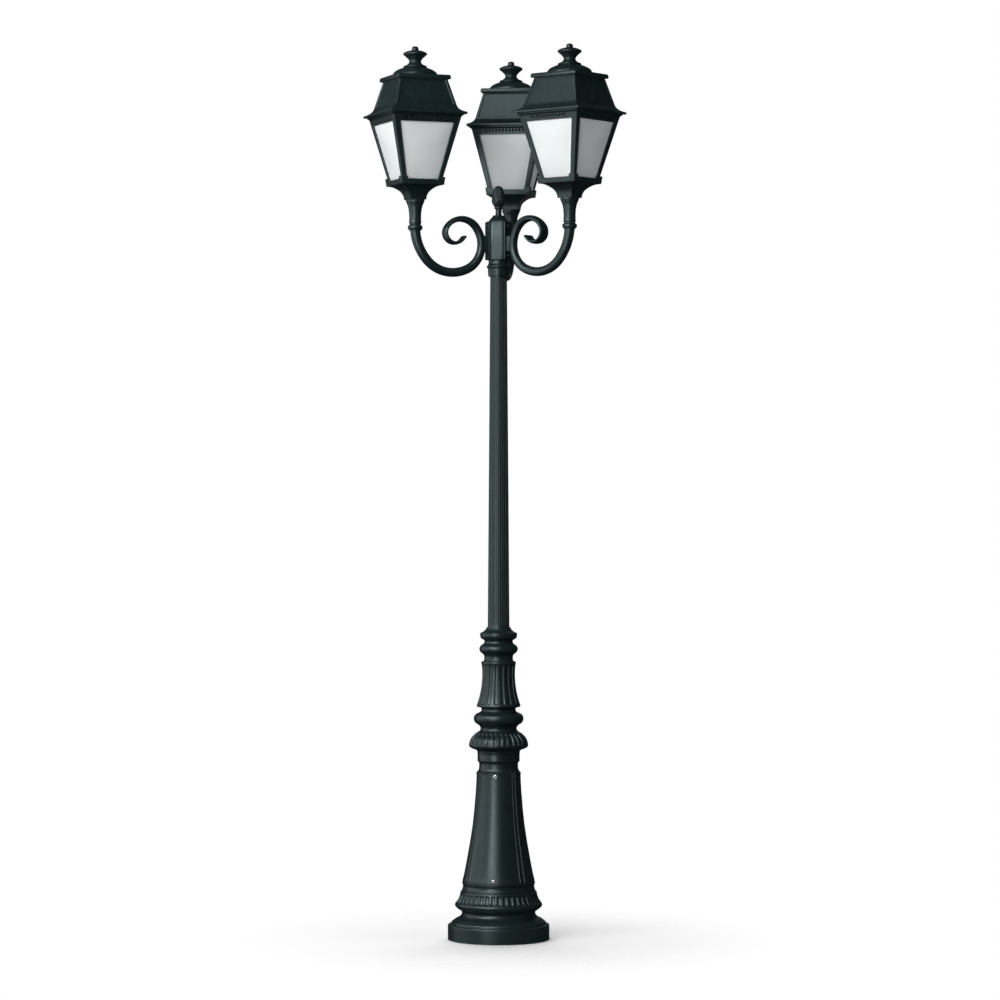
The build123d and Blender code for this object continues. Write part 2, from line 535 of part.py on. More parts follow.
        # screw lugs
        for along in (90, 270):
            a = radians(deg + along)
            cx, cy = ARM_R * cos(radians(deg)), ARM_R * sin(radians(deg))
            with BuildSketch(Plane(origin=(cx + 94.6 * cos(a), cy + 94.6 * sin(a), FRAME_Z1),
                                   x_dir=(cos(a), sin(a), 0), z_dir=(0, 0, 1))):
                Rectangle(10.6, 14.0)
            extrude(amount=-7.9)
            with Locations(Plane(origin=(cx + ROOF_SCREW_H * cos(a), cy + ROOF_SCREW_H * sin(a), FRAME_Z1),
                                 x_dir=(cos(a), sin(a), 0), z_dir=(0, 0, 1))):
                Hole(radius=2.3, depth=7.9)
    finish(lantern_frame, "lantern_frame_" + side)

    # four opal panes behind the frame
    with BuildPart() as lantern_panes:
        for along in (0, 90, 180, 270):
            z0, z1 = WIN_Z0 - 4.6, WIN_Z1 + 4.4
            rise = (z1 - z0) / CL
            extrude(outline([(-WIN_W0 - 3.4, 0), (WIN_W0 + 3.4, 0), (WIN_W1 + 5.0, rise), (-WIN_W1 - 5.0, rise)],
                            flat_on(deg, along, frame_h(z0), z0).offset(-FRAME_T)), amount=-PANE_T)
    finish(lantern_panes, "lantern_panes_" + side)

    # lamp holder on the fixing stud
    with BuildPart() as lamp_holder:
        revolve(outline([(6.7, 2112.0), (21.0, 2112.0), (21.0, 2116.0), (18.6, 2118.0), (18.6, 2148.0), (19.6, 2149.0),
                         (19.6, 2152.0), (14.0, 2152.0), (14.0, 2126.0), (6.7, 2126.0)], upright(deg, ARM_R)),
                axis=lantern_axis(deg))
    finish(lamp_holder, "lamp_holder_" + side)

    # lamp with its screw cap
    with BuildPart() as lamp_bulb:
        revolve(outline([(0, 2126.6), (5.0, 2126.6), (9.0, 2130.4), (13.2, 2132.0), (13.2, 2150.0), (14.6, 2154.0),
                         (17.0, 2162.0), (20.6, 2171.0), (25.0, 2181.0), (28.4, 2191.0), (30.0, 2202.0),
                         (29.4, 2212.0), (26.6, 2221.0), (21.6, 2228.6), (14.6, 2233.8), (7.0, 2236.4), (0, 2237.0)],
                        upright(deg, ARM_R)), axis=lantern_axis(deg))
    finish(lamp_bulb, "lamp_bulb_" + side)

    # roof: eave with a hollow curve, then a four-sided hipped shell
    with BuildPart() as roof:
        loft([square(h, level(deg, ARM_R, z)) for h, z in
              ((112.6, EAVE_Z), (113.5, 2306.2), (113.5, 2310.2), (112.4, 2311.2), (107.0, 2313.0), (101.6, 2315.8),
               (97.0, 2319.2), (93.4, 2323.4), (90.6, 2328.9), (70.4, ROOF_TOP_Z))], ruled=True)
        loft([square(h, level(deg, ARM_R, z)) for h, z in
              ((93.6, EAVE_Z - 0.5), (92.6, 2311.0), (86.8, 2329.0), (67.4, 2400.0))], ruled=True, mode=Mode.SUBTRACT)
        extrude(disc(9.0, level(deg, ARM_R, 2388.0)), amount=13.0)
        extrude(disc(4.1, level(deg, ARM_R, 2380.0)), amount=40.0, mode=Mode.SUBTRACT)
        for along in (90, 270):
            cx, cy = ARM_R * cos(radians(deg)), ARM_R * sin(radians(deg))
            a = radians(deg + along)
            with Locations(Plane(origin=(cx + ROOF_SCREW_H * cos(a), cy + ROOF_SCREW_H * sin(a), 2330.0),
                                 x_dir=(cos(a), sin(a), 0), z_dir=(0, 0, 1))):
                Hole(radius=2.1, depth=30.0)
            extrude(disc(4.2, Plane(origin=(cx + ROOF_SCREW_H * cos(a), cy + ROOF_SCREW_H * sin(a), ROOF_SCREW_SEAT),
                                    x_dir=(cos(a), sin(a), 0), z_dir=(0, 0, 1))), amount=12.0, mode=Mode.SUBTRACT)
    finish(roof, "roof_" + side)

    with BuildPart() as roof_screws:
        for along in (90, 270):
            cx, cy = ARM_R * cos(radians(deg)), ARM_R * sin(radians(deg))
            a = radians(deg + along)
            spot = Plane(origin=(cx + ROOF_SCREW_H * cos(a), cy + ROOF_SCREW_H * sin(a), ROOF_SCREW_SEAT),
                         x_dir=(cos(a), sin(a), 0), z_dir=(0, 0, 1))
            extrude(disc(3.8, spot), amount=2.6)
            extrude(disc(1.9, spot), amount=-20.0)
    finish(roof_screws, "roof_screws_" + side)

    # cap: square plate with a low dome, hollow below
    with BuildPart() as roof_cap:
        loft([square(h, level(deg, ARM_R, z)) for h, z in
              ((76.6, ROOF_TOP_Z), (77.9, 2407.6), (77.7, 2409.6), (76.0, CAP_TOP_Z))], ruled=True)
        revolve(outline([(0, 2412.0), (63.0, 2412.0), (63.0, CAP_TOP_Z), (62.4, 2420.0), (60.0, 2425.0), (55.6, 2429.6),
                         (48.8, 2433.6), (40.6, 2437.0), (33.0, 2440.0), (20.0, 2441.0), (0, 2441.0)],
                        upright(deg, ARM_R)), axis=lantern_axis(deg))
        loft([square(66.0, level(deg, ARM_R, ROOF_TOP_Z)), square(64.0, level(deg, ARM_R, 2411.0))], ruled=True,
             mode=Mode.SUBTRACT)
        revolve(outline([(9.0, 2410.0), (58.0, 2410.0), (57.0, 2418.0), (51.0, 2426.0), (40.0, 2431.6),
                         (28.0, 2435.4), (9.0, 2436.6)], upright(deg, ARM_R)), axis=lantern_axis(deg),
                mode=Mode.SUBTRACT)
        extrude(disc(4.1, level(deg, ARM_R, 2400.0)), amount=60.0, mode=Mode.SUBTRACT)
    finish(roof_cap, "roof_cap_" + side)

    with BuildPart() as roof_finial:
        revolve(outline([(0, 2390.0), (4.0, 2390.0), (4.0, 2441.0), (32.4, 2441.0), (33.0, 2442.4), (32.6, 2444.2),
                         (28.0, 2446.0), (22.4, 2448.8), (18.4, 2452.4), (16.6, 2456.6), (16.9, 2459.4), (19.4, 2463.6),
                         (24.0, 2468.6), (29.4, 2473.2), (32.8, 2476.0), (33.6, 2478.0), (33.0, 2480.2),
                         (29.4, 2482.8), (23.4, 2485.4), (16.0, 2487.4), (10.4, 2488.6), (9.6, 2489.8), (9.6, 2493.0),
                         (8.8, 2496.0), (6.6, 2498.6), (3.4, 2499.8), (0, TOTAL_H)], upright(deg, ARM_R)),
                axis=lantern_axis(deg))
    finish(roof_finial, "roof_finial_" + side)
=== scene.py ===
from math import acos, atan, cos, degrees, pi, radians, sin, sqrt

import bmesh
import bpy
import numpy as np
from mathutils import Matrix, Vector
from mathutils.geometry import tessellate_polygon


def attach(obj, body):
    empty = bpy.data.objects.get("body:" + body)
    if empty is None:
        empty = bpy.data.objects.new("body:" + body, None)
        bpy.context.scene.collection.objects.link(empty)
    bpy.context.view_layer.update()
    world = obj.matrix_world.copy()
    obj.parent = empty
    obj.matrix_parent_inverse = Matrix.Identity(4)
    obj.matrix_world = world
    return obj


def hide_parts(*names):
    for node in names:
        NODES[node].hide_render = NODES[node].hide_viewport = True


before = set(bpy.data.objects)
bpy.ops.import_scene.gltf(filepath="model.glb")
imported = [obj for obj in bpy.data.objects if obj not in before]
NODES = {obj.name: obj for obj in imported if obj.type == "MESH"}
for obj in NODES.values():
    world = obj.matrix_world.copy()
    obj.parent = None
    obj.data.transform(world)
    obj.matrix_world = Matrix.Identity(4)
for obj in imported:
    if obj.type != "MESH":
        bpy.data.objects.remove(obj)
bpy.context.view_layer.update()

# Everything below is worked out in millimetres and written in metres.
MM = 0.001
SIDES = {"right": -30.0, "left": 210.0, "rear": 90.0}
ARM_R = 250.5

# ------------------------------------------------------------------ camera
AZ = radians(8.24)
DIST, EYE = 9.864, 1.235
cam_data = bpy.data.cameras.new("camera")
cam = bpy.data.objects.new("camera", cam_data)
bpy.context.scene.collection.objects.link(cam)
cam_data.sensor_width = 36.0
cam_data.lens = 126.15
cam_data.shift_x = 0.0014
cam_data.clip_start, cam_data.clip_end = 0.1, 100.0
cam.location = (sin(AZ) * DIST, -cos(AZ) * DIST, EYE)
cam.rotation_euler = (pi / 2, 0.0, AZ)
bpy.context.scene.camera = cam


# ------------------------------------------------------------------ materials
class Nodes:
    """A short way to write node trees."""

    def __init__(self, name):
        self.mat = bpy.data.materials.new(name)
        self.mat.use_nodes = True
        self.tree = self.mat.node_tree
        self.shader = self.tree.nodes["Principled BSDF"]
        self.coords = self.tree.nodes.new("ShaderNodeTexCoord").outputs["Object"]

    def add(self, kind, inputs=None, **props):
        node = self.tree.nodes.new(kind)
        for key, value in props.items():
            setattr(node, key, value)
        for key, value in (inputs or {}).items():
            if isinstance(value, bpy.types.NodeSocket):
                self.tree.links.new(value, node.inputs[key])
            else:
                node.inputs[key].default_value = value
        return node

    def noise(self, scale, detail=2.0, rough=0.5, vector=None):
        return self.add("ShaderNodeTexNoise", {"Vector": vector or self.coords, "Scale": scale, "Detail": detail,
                                               "Roughness": rough}).outputs["Fac"]

    def ramp(self, fac, stops):
        node = self.add("ShaderNodeValToRGB", {"Fac": fac})
        el = node.color_ramp.elements
        while len(el) < len(stops):
            el.new(0.5)
        for e, (pos, col) in zip(el, stops):
            e.position, e.color = pos, col
        return node.outputs["Color"]

    def spread(self, fac, lo, hi, out_lo, out_hi):
        return self.add("ShaderNodeMapRange", {"Value": fac, "From Min": lo, "From Max": hi, "To Min": out_lo,
                                               "To Max": out_hi}).outputs["Result"]

    def mix(self, fac, a, b):
        node = self.tree.nodes.new("ShaderNodeMix")
        node.data_type = "RGBA"
        for index, value in ((0, fac), (6, a), (7, b)):
            if isinstance(value, bpy.types.NodeSocket):
                self.tree.links.new(value, node.inputs[index])
            else:
                node.inputs[index].default_value = value
        return node.outputs[2]

    def math(self, op, a, b=0.0):
        node = self.tree.nodes.new("ShaderNodeMath")
        node.operation = op
        for index, value in ((0, a), (1, b)):
            if isinstance(value, bpy.types.NodeSocket):
                self.tree.links.new(value, node.inputs[index])
            else:
                node.inputs[index].default_value = value
        return node.outputs[0]

    def bump(self, height, strength, distance, normal=None):
        inputs = {"Height": height, "Strength": strength, "Distance": distance}
        if normal is not None:
            inputs["Normal"] = normal
        return self.add("ShaderNodeBump", inputs).outputs["Normal"]

    def set(self, **values):
        names = {"color": "Base Color", "rough": "Roughness", "normal": "Normal", "metal": "Metallic",
                 "tint": "Specular Tint", "coat": "Coat Weight", "coat_rough": "Coat Roughness", "spec": "Specular IOR Level", "ior": "IOR",
                 "sheen": "Sheen Weight", "transmission": "Transmission Weight", "sub": "Subsurface Weight",
                 "sub_scale": "Subsurface Scale", "emit": "Emission Color", "emit_power": "Emission Strength"}
        for key, value in values.items():
            socket = self.shader.inputs[names[key]]
            if isinstance(value, bpy.types.NodeSocket):
                self.tree.links.new(value, socket)
            else:
                socket.default_value = value
        return self


def rgb(r, g, b):
    """Display colour 0-255 to the scene's linear colour."""
    return tuple((c / 255 / 12.92 if c / 255 <= 0.04045 else ((c / 255 + 0.055) / 1.055) ** 2.4) for c in (r, g, b)) + (1.0,)


def make_paint(name, dark, light, rough=(0.31, 0.38), edge=0.55, streak=0.0):
    """Satin powder coat: fine orange peel, faint cloudiness, painted shade darkening the hollows and a painted
    highlight lightening the edges (edge sets its strength).
    """
    m = Nodes(name)
    cloud = m.noise(5.5, 4.0, 0.6)
    fine = m.noise(310.0, 2.0, 0.55)
    grain = m.noise(1500.0, 1.0, 0.5)
    base = m.mix(m.spread(cloud, 0.32, 0.68, 0.0, 1.0), dark, light)
    point = m.add("ShaderNodeNewGeometry").outputs["Pointiness"]
    # convex edges painted lighter than the coat: a painted highlight
    painted_edge_highlight = m.spread(point, 0.515, 0.60, 0.0, edge)
    # hollows painted darker than the coat: painted shade where less light reaches
    painted_hollow_shade = m.spread(point, 0.488, 0.44, 0.0, 0.35)
    colour = m.mix(painted_edge_highlight, base, tuple(min(1.0, c * 1.9 + 0.006) for c in light[:3]) + (1.0,))
    colour = m.mix(painted_hollow_shade, colour, tuple(c * 0.62 for c in dark[:3]) + (1.0,))
    roughness = m.math("ADD", m.spread(cloud, 0.3, 0.7, rough[0], rough[1]), m.spread(grain, 0.3, 0.7, -0.025, 0.025))
    normal = m.bump(fine, 0.16, 0.00035)
    normal = m.bump(grain, 0.06, 0.00012, normal)
    if streak:
        # sheet metal keeps faint upright streaks from rolling and from rain
        run = m.noise(1.0, 3.0, 0.55, m.add("ShaderNodeMapping", {"Vector": m.coords, "Scale": (120.0, 120.0, 5.0)}).outputs["Vector"])
        roughness = m.math("ADD", roughness, m.spread(run, 0.32, 0.68, -streak, streak))
        colour = m.mix(m.spread(run, 0.5, 0.72, 0.0, 0.5), colour, tuple(c * 1.7 for c in light[:3]) + (1.0,))
        normal = m.bump(run, 0.10, 0.0006, normal)
    m.set(color=colour, rough=roughness, normal=normal, spec=0.55, tint=(0.78, 0.97, 1.0, 1.0), coat=0.03, coat_rough=0.18)
    return m.mat


def make_opal():
    """Opal sheet: milky, a little gloss, faint cloudiness through its thickness."""
    m = Nodes("opal_sheet")
    cloud = m.noise(9.0, 3.0, 0.55)
    flow = m.noise(60.0, 2.0, 0.5)
    m.set(color=m.mix(m.spread(cloud, 0.3, 0.7, 0.0, 1.0), rgb(221, 225, 225), rgb(214, 218, 218)),
          rough=m.spread(flow, 0.3, 0.7, 0.52, 0.6), normal=m.bump(flow, 0.04, 0.0003), ior=1.49, spec=0.22)
    return m.mat


def make_bulb():
    m = Nodes("lamp_opal_glass")
    cloud = m.noise(30.0, 2.0, 0.5)
    m.set(color=m.mix(m.spread(cloud, 0.3, 0.7, 0.0, 1.0), rgb(240, 240, 234), rgb(233, 233, 227)),
          rough=m.spread(cloud, 0.3, 0.7, 0.12, 0.18), coat=0.5, coat_rough=0.05, sub=0.2, sub_scale=0.006)
    return m.mat


def make_metal(name, colour, rough=(0.25, 0.4), streak=(900.0, 900.0, 60.0), bump=0.05, tarnish=0.12):
    """Bare or plated metal with drawn streaks and light tarnish."""
    m = Nodes(name)
    stretched = m.add("ShaderNodeMapping", {"Vector": m.coords, "Scale": streak}).outputs["Vector"]
    lines = m.noise(1.0, 3.0, 0.6, stretched)
    cloud = m.noise(26.0, 4.0, 0.6)
    dull = tuple(c * 0.62 for c in colour[:3]) + (1.0,)
    m.set(color=m.mix(m.spread(cloud, 0.45, 0.8, 0.0, tarnish * 4), colour, dull), metal=1.0,
          rough=m.math("ADD", m.spread(lines, 0.3, 0.7, rough[0], rough[1]), m.spread(cloud, 0.3, 0.7, -0.03, 0.06)),
          normal=m.bump(lines, bump, 0.0002))
    return m.mat


def make_plastic(name, colour, rough=(0.42, 0.5), grain=700.0, bump=0.12):
    m = Nodes(name)
    cloud = m.noise(14.0, 3.0, 0.5)
    speckle = m.noise(grain, 2.0, 0.6)
    darker = tuple(c * 0.86 for c in colour[:3]) + (1.0,)
    m.set(color=m.mix(m.spread(cloud, 0.3, 0.7, 0.0, 1.0), colour, darker),
          rough=m.spread(speckle, 0.3, 0.7, rough[0], rough[1]), normal=m.bump(speckle, bump, 0.0002), ior=1.5)
    return m.mat


def make_porcelain():
    m = Nodes("glazed_porcelain")
    cloud = m.noise(40.0, 3.0, 0.5)
    specks = m.noise(420.0, 1.0, 0.5)
    base = m.mix(m.spread(cloud, 0.3, 0.7, 0.0, 1.0), rgb(228, 224, 214), rgb(219, 215, 204))
    m.set(color=m.mix(m.spread(specks, 0.70, 0.76, 0.0, 0.35), base, rgb(150, 140, 120)),
          rough=m.spread(cloud, 0.3, 0.7, 0.14, 0.22), normal=m.bump(cloud, 0.05, 0.0004), coat=0.6, coat_rough=0.06)
    return m.mat


PAINT = make_paint("post_satin_paint", rgb(17, 27, 29), rgb(23, 34, 36))
# roof paint: the post's paint made lighter as painted light, standing in for light the roof faces lack; its faint
# upright streaks are the sheet's own
ROOF_PAINT_PAINTED_LIGHTER = make_paint("roof_satin_paint_painted_lighter", rgb(19, 30, 32), rgb(26, 38, 40), (0.30, 0.37), 0.55, 0.035)
OPAL = make_opal()
BULB = make_bulb()
PORCELAIN = make_porcelain()
BRIGHT = make_metal("bright_stainless", rgb(232, 236, 238), (0.38, 0.5), tarnish=0.03)
ZINC = make_metal("zinc_plate", rgb(178, 182, 184), (0.32, 0.5), (220.0, 220.0, 220.0), 0.08, 0.2)
BRASS = make_metal("brass_stud", rgb(205, 170, 96), (0.22, 0.34), tarnish=0.16)
NICKEL = make_metal("lamp_cap_nickel", rgb(198, 196, 188), (0.2, 0.3), tarnish=0.08)
# edge 0.8 paints a stronger highlight on the screw heads' edges
DARK_SCREW = make_paint("dark_screw_paint", rgb(20, 27, 28), rgb(27, 35, 36), (0.26, 0.36), 0.8)
GREY_PLASTIC = make_plastic("grey_moulding", rgb(176, 180, 182))
SMOKE_PLASTIC = make_plastic("dark_moulding", rgb(52, 54, 56), (0.25, 0.33), 300.0, 0.05)
SHEATH = make_plastic("black_sheath", rgb(26, 26, 27), (0.5, 0.6), 240.0, 0.2)


# ------------------------------------------------------------------ mesh building
def curve(points, corner=36.0, step=2.0, round_r=0.7):
    """Rows through (r, z) points: smooth where they turn gently, with a small radius at each real corner."""
    p = np.array(points, float)
    n = len(p)
    seg = p[1:] - p[:-1]
    length = np.hypot(seg[:, 0], seg[:, 1])
    t = seg / length[:, None]
    hard = [False] * n
    tan_in, tan_out = [None] * n, [None] * n
    for i in range(n):
        if i == 0 or i == n - 1:
            d = t[0] if i == 0 else t[-1]
            tan_in[i] = tan_out[i] = d
            continue
        turn = degrees(acos(max(-1.0, min(1.0, float(t[i - 1] @ t[i])))))
        if turn > corner:
            hard[i] = True
            tan_in[i], tan_out[i] = t[i - 1], t[i]
        else:
            d = t[i - 1] * length[i] + t[i] * length[i - 1]
            d /= np.hypot(*d)
            tan_in[i] = tan_out[i] = d
    rows = []
    for i in range(n - 1):
        lo = min(round_r, 0.3 * length[i]) / length[i] if hard[i] else 0.0
        hi = 1.0 - (min(round_r, 0.3 * length[i]) / length[i] if hard[i + 1] else 0.0)
        m0 = tan_out[i] * min(length[i], 1.2 * length[i - 1] if i else length[i])
        m1 = tan_in[i + 1] * min(length[i], 1.2 * length[i + 1] if i + 1 < n - 1 else length[i])
        count = max(1, int(np.ceil((hi - lo) * length[i] / step)))
        for u in np.linspace(lo, hi, count + 1)[(0 if i == 0 or hard[i] else 1):]:
            h = np.array([2 * u**3 - 3 * u**2 + 1, u**3 - 2 * u**2 + u, -2 * u**3 + 3 * u**2, u**3 - u**2])
            rows.append(h[0] * p[i] + h[1] * m0 + h[2] * p[i + 1] + h[3] * m1)
        if hard[i + 1]:
            a = rows[-1]
            nxt = length[i + 1]
            b = p[i + 1] + t[i + 1] * min(round_r, 0.3 * nxt)
            for u in (1 / 3, 2 / 3):
                rows.append((1 - u)**2 * a + 2 * u * (1 - u) * p[i + 1] + u**2 * b)
    return np.array(rows)


def lengths(rows):
    return np.concatenate([[0.0], np.cumsum(np.hypot(np.diff(rows[:, 0]), np.diff(rows[:, 1])))])


def merge_columns(*groups, gap=0.12):
    """Sorted angles from several sets, the earlier sets kept where two nearly meet."""
    kept = []
    for group in groups:
        for a in group:
            a = ((a + 180.0) % 360.0) - 180.0
            if all(abs(((a - k + 180.0) % 360.0) - 180.0) > gap for k in kept):
                kept.append(a)
    return np.array(sorted(kept))


def flute_columns(count, phase, share, inside=9, outside=4):
    pitch = 360.0 / count
    e = share * pitch / 2
    inner = e * np.sin(np.linspace(-pi / 2, pi / 2, inside + 2))
    outer = np.linspace(e, pitch - e, outside + 2)[1:-1]
    one = np.concatenate([inner, outer])
    return np.concatenate([phase + k * pitch + one for k in range(count)])


def flutes(rows, ts, count, phase, z0, z1, share, depth, steep=2.6, s=None):
    """Concave flutes with round ends, as a depth along the surface's normal."""
    s = lengths(rows) if s is None else s
    s0, s1 = np.interp(z0, rows[:, 1], s), np.interp(z1, rows[:, 1], s)
    pitch = 360.0 / count
    a = ((ts - phase + pitch / 2) % pitch) - pitch / 2
    r = rows[:, :1]
    x = np.radians(a)[None, :] * r
    w = share * radians(pitch) * r / 2
    over = np.maximum(np.maximum(s0 + w - s[:, None], s[:, None] - (s1 - w)), 0.0)
    rho = np.sqrt(x**2 + over**2) / w
    return -depth * np.sqrt(np.clip(1.0 - rho**steep, 0.0, 1.0)) * ((s[:, None] > s0) & (s[:, None] < s1))


def around(rows, ts, depth=None, factor=None, axis=(0.0, 0.0)):
    """Points of a turned surface; ts are degrees from the front, towards +X."""
    d = np.gradient(rows, axis=0)
    size = np.hypot(d[:, 0], d[:, 1])
    size[size < 1e-9] = 1.0
    nr, nz = d[:, 1] / size, -d[:, 0] / size
    rr = np.repeat(rows[:, :1], len(ts), axis=1)
    zz = np.repeat(rows[:, 1:2], len(ts), axis=1)
    if factor is not None:
        rr = rr * factor
    if depth is not None:
        rr = rr + depth * nr[:, None]
        zz = zz + depth * nz[:, None]
    a = np.radians(ts)[None, :]
    return np.stack([axis[0] + rr * np.sin(a), axis[1] - rr * np.cos(a), zz], axis=-1)


def shell(P, wrap_rows=False, wrap_cols=True, keep=None):
    """Grid of points to vertices, quads and triangles; a row that is one point becomes a pole."""
    rows, cols = P.shape[:2]
    idx = np.arange(rows * cols).reshape(rows, cols)
    for i in range(rows):
        if np.ptp(P[i], axis=0).max() < 1e-6:
            idx[i] = idx[i, 0]
    a = np.vstack([idx, idx[:1]]) if wrap_rows else idx
    a = np.hstack([a, a[:, :1]]) if wrap_cols else a
    q = np.stack([a[:-1, :-1], a[:-1, 1:], a[1:, 1:], a[1:, :-1]], axis=-1)
    q = q[keep] if keep is not None else q.reshape(-1, 4)
    low, high = q[:, 0] == q[:, 1], q[:, 2] == q[:, 3]
    tris = np.vstack([q[low & ~high][:, [0, 2, 3]], q[high & ~low][:, [0, 1, 2]]])
    return [P.reshape(-1, 3), q[~low & ~high], tris, []]


def signed_volume(part):
    v, quads, tris, ngons = part
    total = 0.0
    if len(quads):
        a, b, c, d = (v[quads[:, k]] for k in range(4))
        total += np.einsum("ij,ij->i", a, np.cross(b, c)).sum() + np.einsum("ij,ij->i", a, np.cross(c, d)).sum()
    if len(tris):
        a, b, c = (v[tris[:, k]] for k in range(3))
        total += np.einsum("ij,ij->i", a, np.cross(b, c)).sum()
    for g in ngons:
        for k in range(1, len(g) - 1):
            total += float(v[g[0]] @ np.cross(v[g[k]], v[g[k + 1]]))
    return total


def emit(name, parts, material, body, stands_for=(), sharp=33.0, heal=False, weld=None):
    """One object from closed parts, smooth with sharp edges, riding on a body."""
    verts, flat, starts, base, at = [], [], [], 0, 0
    for part in parts:
        v, quads, tris, ngons = part
        quads, tris = np.asarray(quads, int).reshape(-1, 4), np.asarray(tris, int).reshape(-1, 3)
        if signed_volume([v, quads, tris, ngons]) < 0:
            quads, tris, ngons = quads[:, ::-1], tris[:, ::-1], [g[::-1] for g in ngons]
        used = np.unique(np.concatenate([quads.ravel(), tris.ravel()] + [np.asarray(g, int) for g in ngons]))
        remap = np.full(len(v), -1)
        remap[used] = np.arange(len(used))
        verts.append(v[used])
        for block, k in ((quads, 4), (tris, 3)):
            if len(block):
                flat.append((remap[block] + base).ravel())
                starts.append(at + k * np.arange(len(block)))
                at += k * len(block)
        for g in ngons:
            flat.append(remap[np.asarray(g, int)] + base)
            starts.append(np.array([at]))
            at += len(g)
        base += len(used)
    verts, flat, starts = np.concatenate(verts), np.concatenate(flat), np.concatenate(starts)
    mesh = bpy.data.meshes.new(name)
    mesh.vertices.add(len(verts))
    mesh.vertices.foreach_set("co", (verts * MM).astype(np.float32).ravel())
    mesh.loops.add(len(flat))
    mesh.loops.foreach_set("vertex_index", flat.astype(np.int32))
    mesh.polygons.add(len(starts))
    mesh.polygons.foreach_set("loop_start", starts.astype(np.int32))
    mesh.update(calc_edges=True)
    mesh.validate()
    if heal or weld:
        bm = bmesh.new()
        bm.from_mesh(mesh)
        if weld:
            bmesh.ops.remove_doubles(bm, verts=bm.verts, dist=weld)
        bmesh.ops.recalc_face_normals(bm, faces=bm.faces)
        bm.to_mesh(mesh)
        bm.free()
    mesh.polygons.foreach_set("use_smooth", np.ones(len(mesh.polygons), bool))
    mesh.set_sharp_from_angle(angle=radians(sharp))
    mesh.materials.append(material)
    obj = bpy.data.objects.new(name, mesh)
    bpy.context.scene.collection.objects.link(obj)
    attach(obj, body)
    if stands_for:
        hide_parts(*stands_for)
    return obj


def cut(obj, cutters):
    """Takes closed parts away from an object."""
    for k, part in enumerate(cutters):
        tool = emit("cutter_tmp_%d" % k, [part], PAINT, "root")
        mod = obj.modifiers.new("cut", "BOOLEAN")
        mod.operation, mod.solver, mod.object = "DIFFERENCE", "EXACT", tool
        bpy.context.view_layer.update()
        dg = bpy.context.evaluated_depsgraph_get()
        mesh = bpy.data.meshes.new_from_object(obj.evaluated_get(dg))
        obj.modifiers.clear()
        old = obj.data
        obj.data = mesh
        bpy.data.meshes.remove(old)
        tool_mesh = tool.data
        bpy.data.objects.remove(tool)
        bpy.data.meshes.remove(tool_mesh)
    obj.data.polygons.foreach_set("use_smooth", np.ones(len(obj.data.polygons), bool))
    obj.data.set_sharp_from_angle(angle=radians(33.0))
    return obj


def frame_of(ez, up=(0.0, 0.0, 1.0)):
    ez = np.array(ez, float) / np.linalg.norm(ez)
    up = np.array(up, float)
    if abs(ez @ up) > 0.95:
        up = np.array([0.0, 1.0, 0.0])
    ex = np.cross(up, ez)
    ex /= np.linalg.norm(ex)
    return ex, np.cross(ez, ex), ez


def place(local, origin, axes):
    ex, ey, ez = (np.array(a, float) for a in axes)
    return np.array(origin, float) + local[..., :1] * ex + local[..., 1:2] * ey + local[..., 2:3] * ez


def turned_local(rows, origin, axes, ts=None, factor=None):
    """Turned part about any axis: rows are (radius, height along the axis)."""
    ts = np.arange(0, 360, 7.5) if ts is None else ts
    return shell(place(around(np.array(rows, float), ts, factor=factor), origin, axes))


def hex_factor(ts, cap=1.142):
    x = np.radians(((np.asarray(ts) + 30.0) % 60.0) - 30.0)
    return np.minimum(1.0 / np.cos(x), cap)


def rounded_rect(w, h, r, n=5):
    pts = []
    for cx, cy, a0 in ((w / 2 - r, h / 2 - r, 0), (-w / 2 + r, h / 2 - r, 90), (-w / 2 + r, -h / 2 + r, 180),
                       (w / 2 - r, -h / 2 + r, 270)):
        for k in range(n + 1):
            a = radians(a0 + 90.0 * k / n)
            pts.append((cx + r * cos(a), cy + r * sin(a)))
    return np.array(pts)


def slab(w, h, r, t0, t1, edge, origin, axes, back_edge=0.3, n=5):
    """Rounded rectangular plate from t0 to t1 along its third axis, with rounded front edges."""
    steps = [(back_edge, t0)] if back_edge else [(0.0, t0)]
    if back_edge:
        steps.append((0.0, t0 + back_edge))
    for k in range(5):
        a = radians(90.0 * k / 4)
        steps.append((edge * (1 - cos(a)), t1 - edge * (1 - sin(a))))
    grid = []
    first, last = steps[0], steps[-1]
    grid.append(np.tile([0.0, 0.0, first[1]], (4 * (n + 1), 1)))
    for inset, z in steps:
        ring = rounded_rect(w - 2 * inset, h - 2 * inset, max(0.2, r - inset), n)
        grid.append(np.column_stack([ring, np.full(len(ring), z)]))
    grid.append(np.tile([0.0, 0.0, last[1]], (4 * (n + 1), 1)))
    return shell(place(np.array(grid), origin, axes))


def screw_head(origin, ez, r, h, socket=2.0, deep=1.8, shank=2.6, reach=8.0, dome=0.5):
    """Button head with a hexagon socket."""
    ts = np.arange(0, 360, 7.5)
    rows = [(0, -reach), (shank, -reach), (shank, 0.0), (r - 0.25, 0.0), (r, 0.25), (r, h * dome), (r * 0.965, h * (dome + 0.16)),
            (r * 0.88, h * (dome + 0.31)), (r * 0.74, h * (dome + 0.42)), (r * 0.6, h * 0.985), (socket + 0.55, h),
            (socket + 0.22, h - 0.06), (socket, h - 0.3), (socket, h - deep), (0, h - deep - 0.5)]
    rows = np.array(rows, float)
    f = np.ones((len(rows), len(ts)))
    f[11:14] = hex_factor(ts, 2.0)[None, :]
    return turned_local(rows, origin, frame_of(ez), ts, f)


def direction(deg):
    a = radians(deg)
    return np.array([cos(a), sin(a), 0.0])


def sideways(deg):
    a = radians(deg)
    return np.array([-sin(a), cos(a), 0.0])


UP = np.array([0.0, 0.0, 1.0])


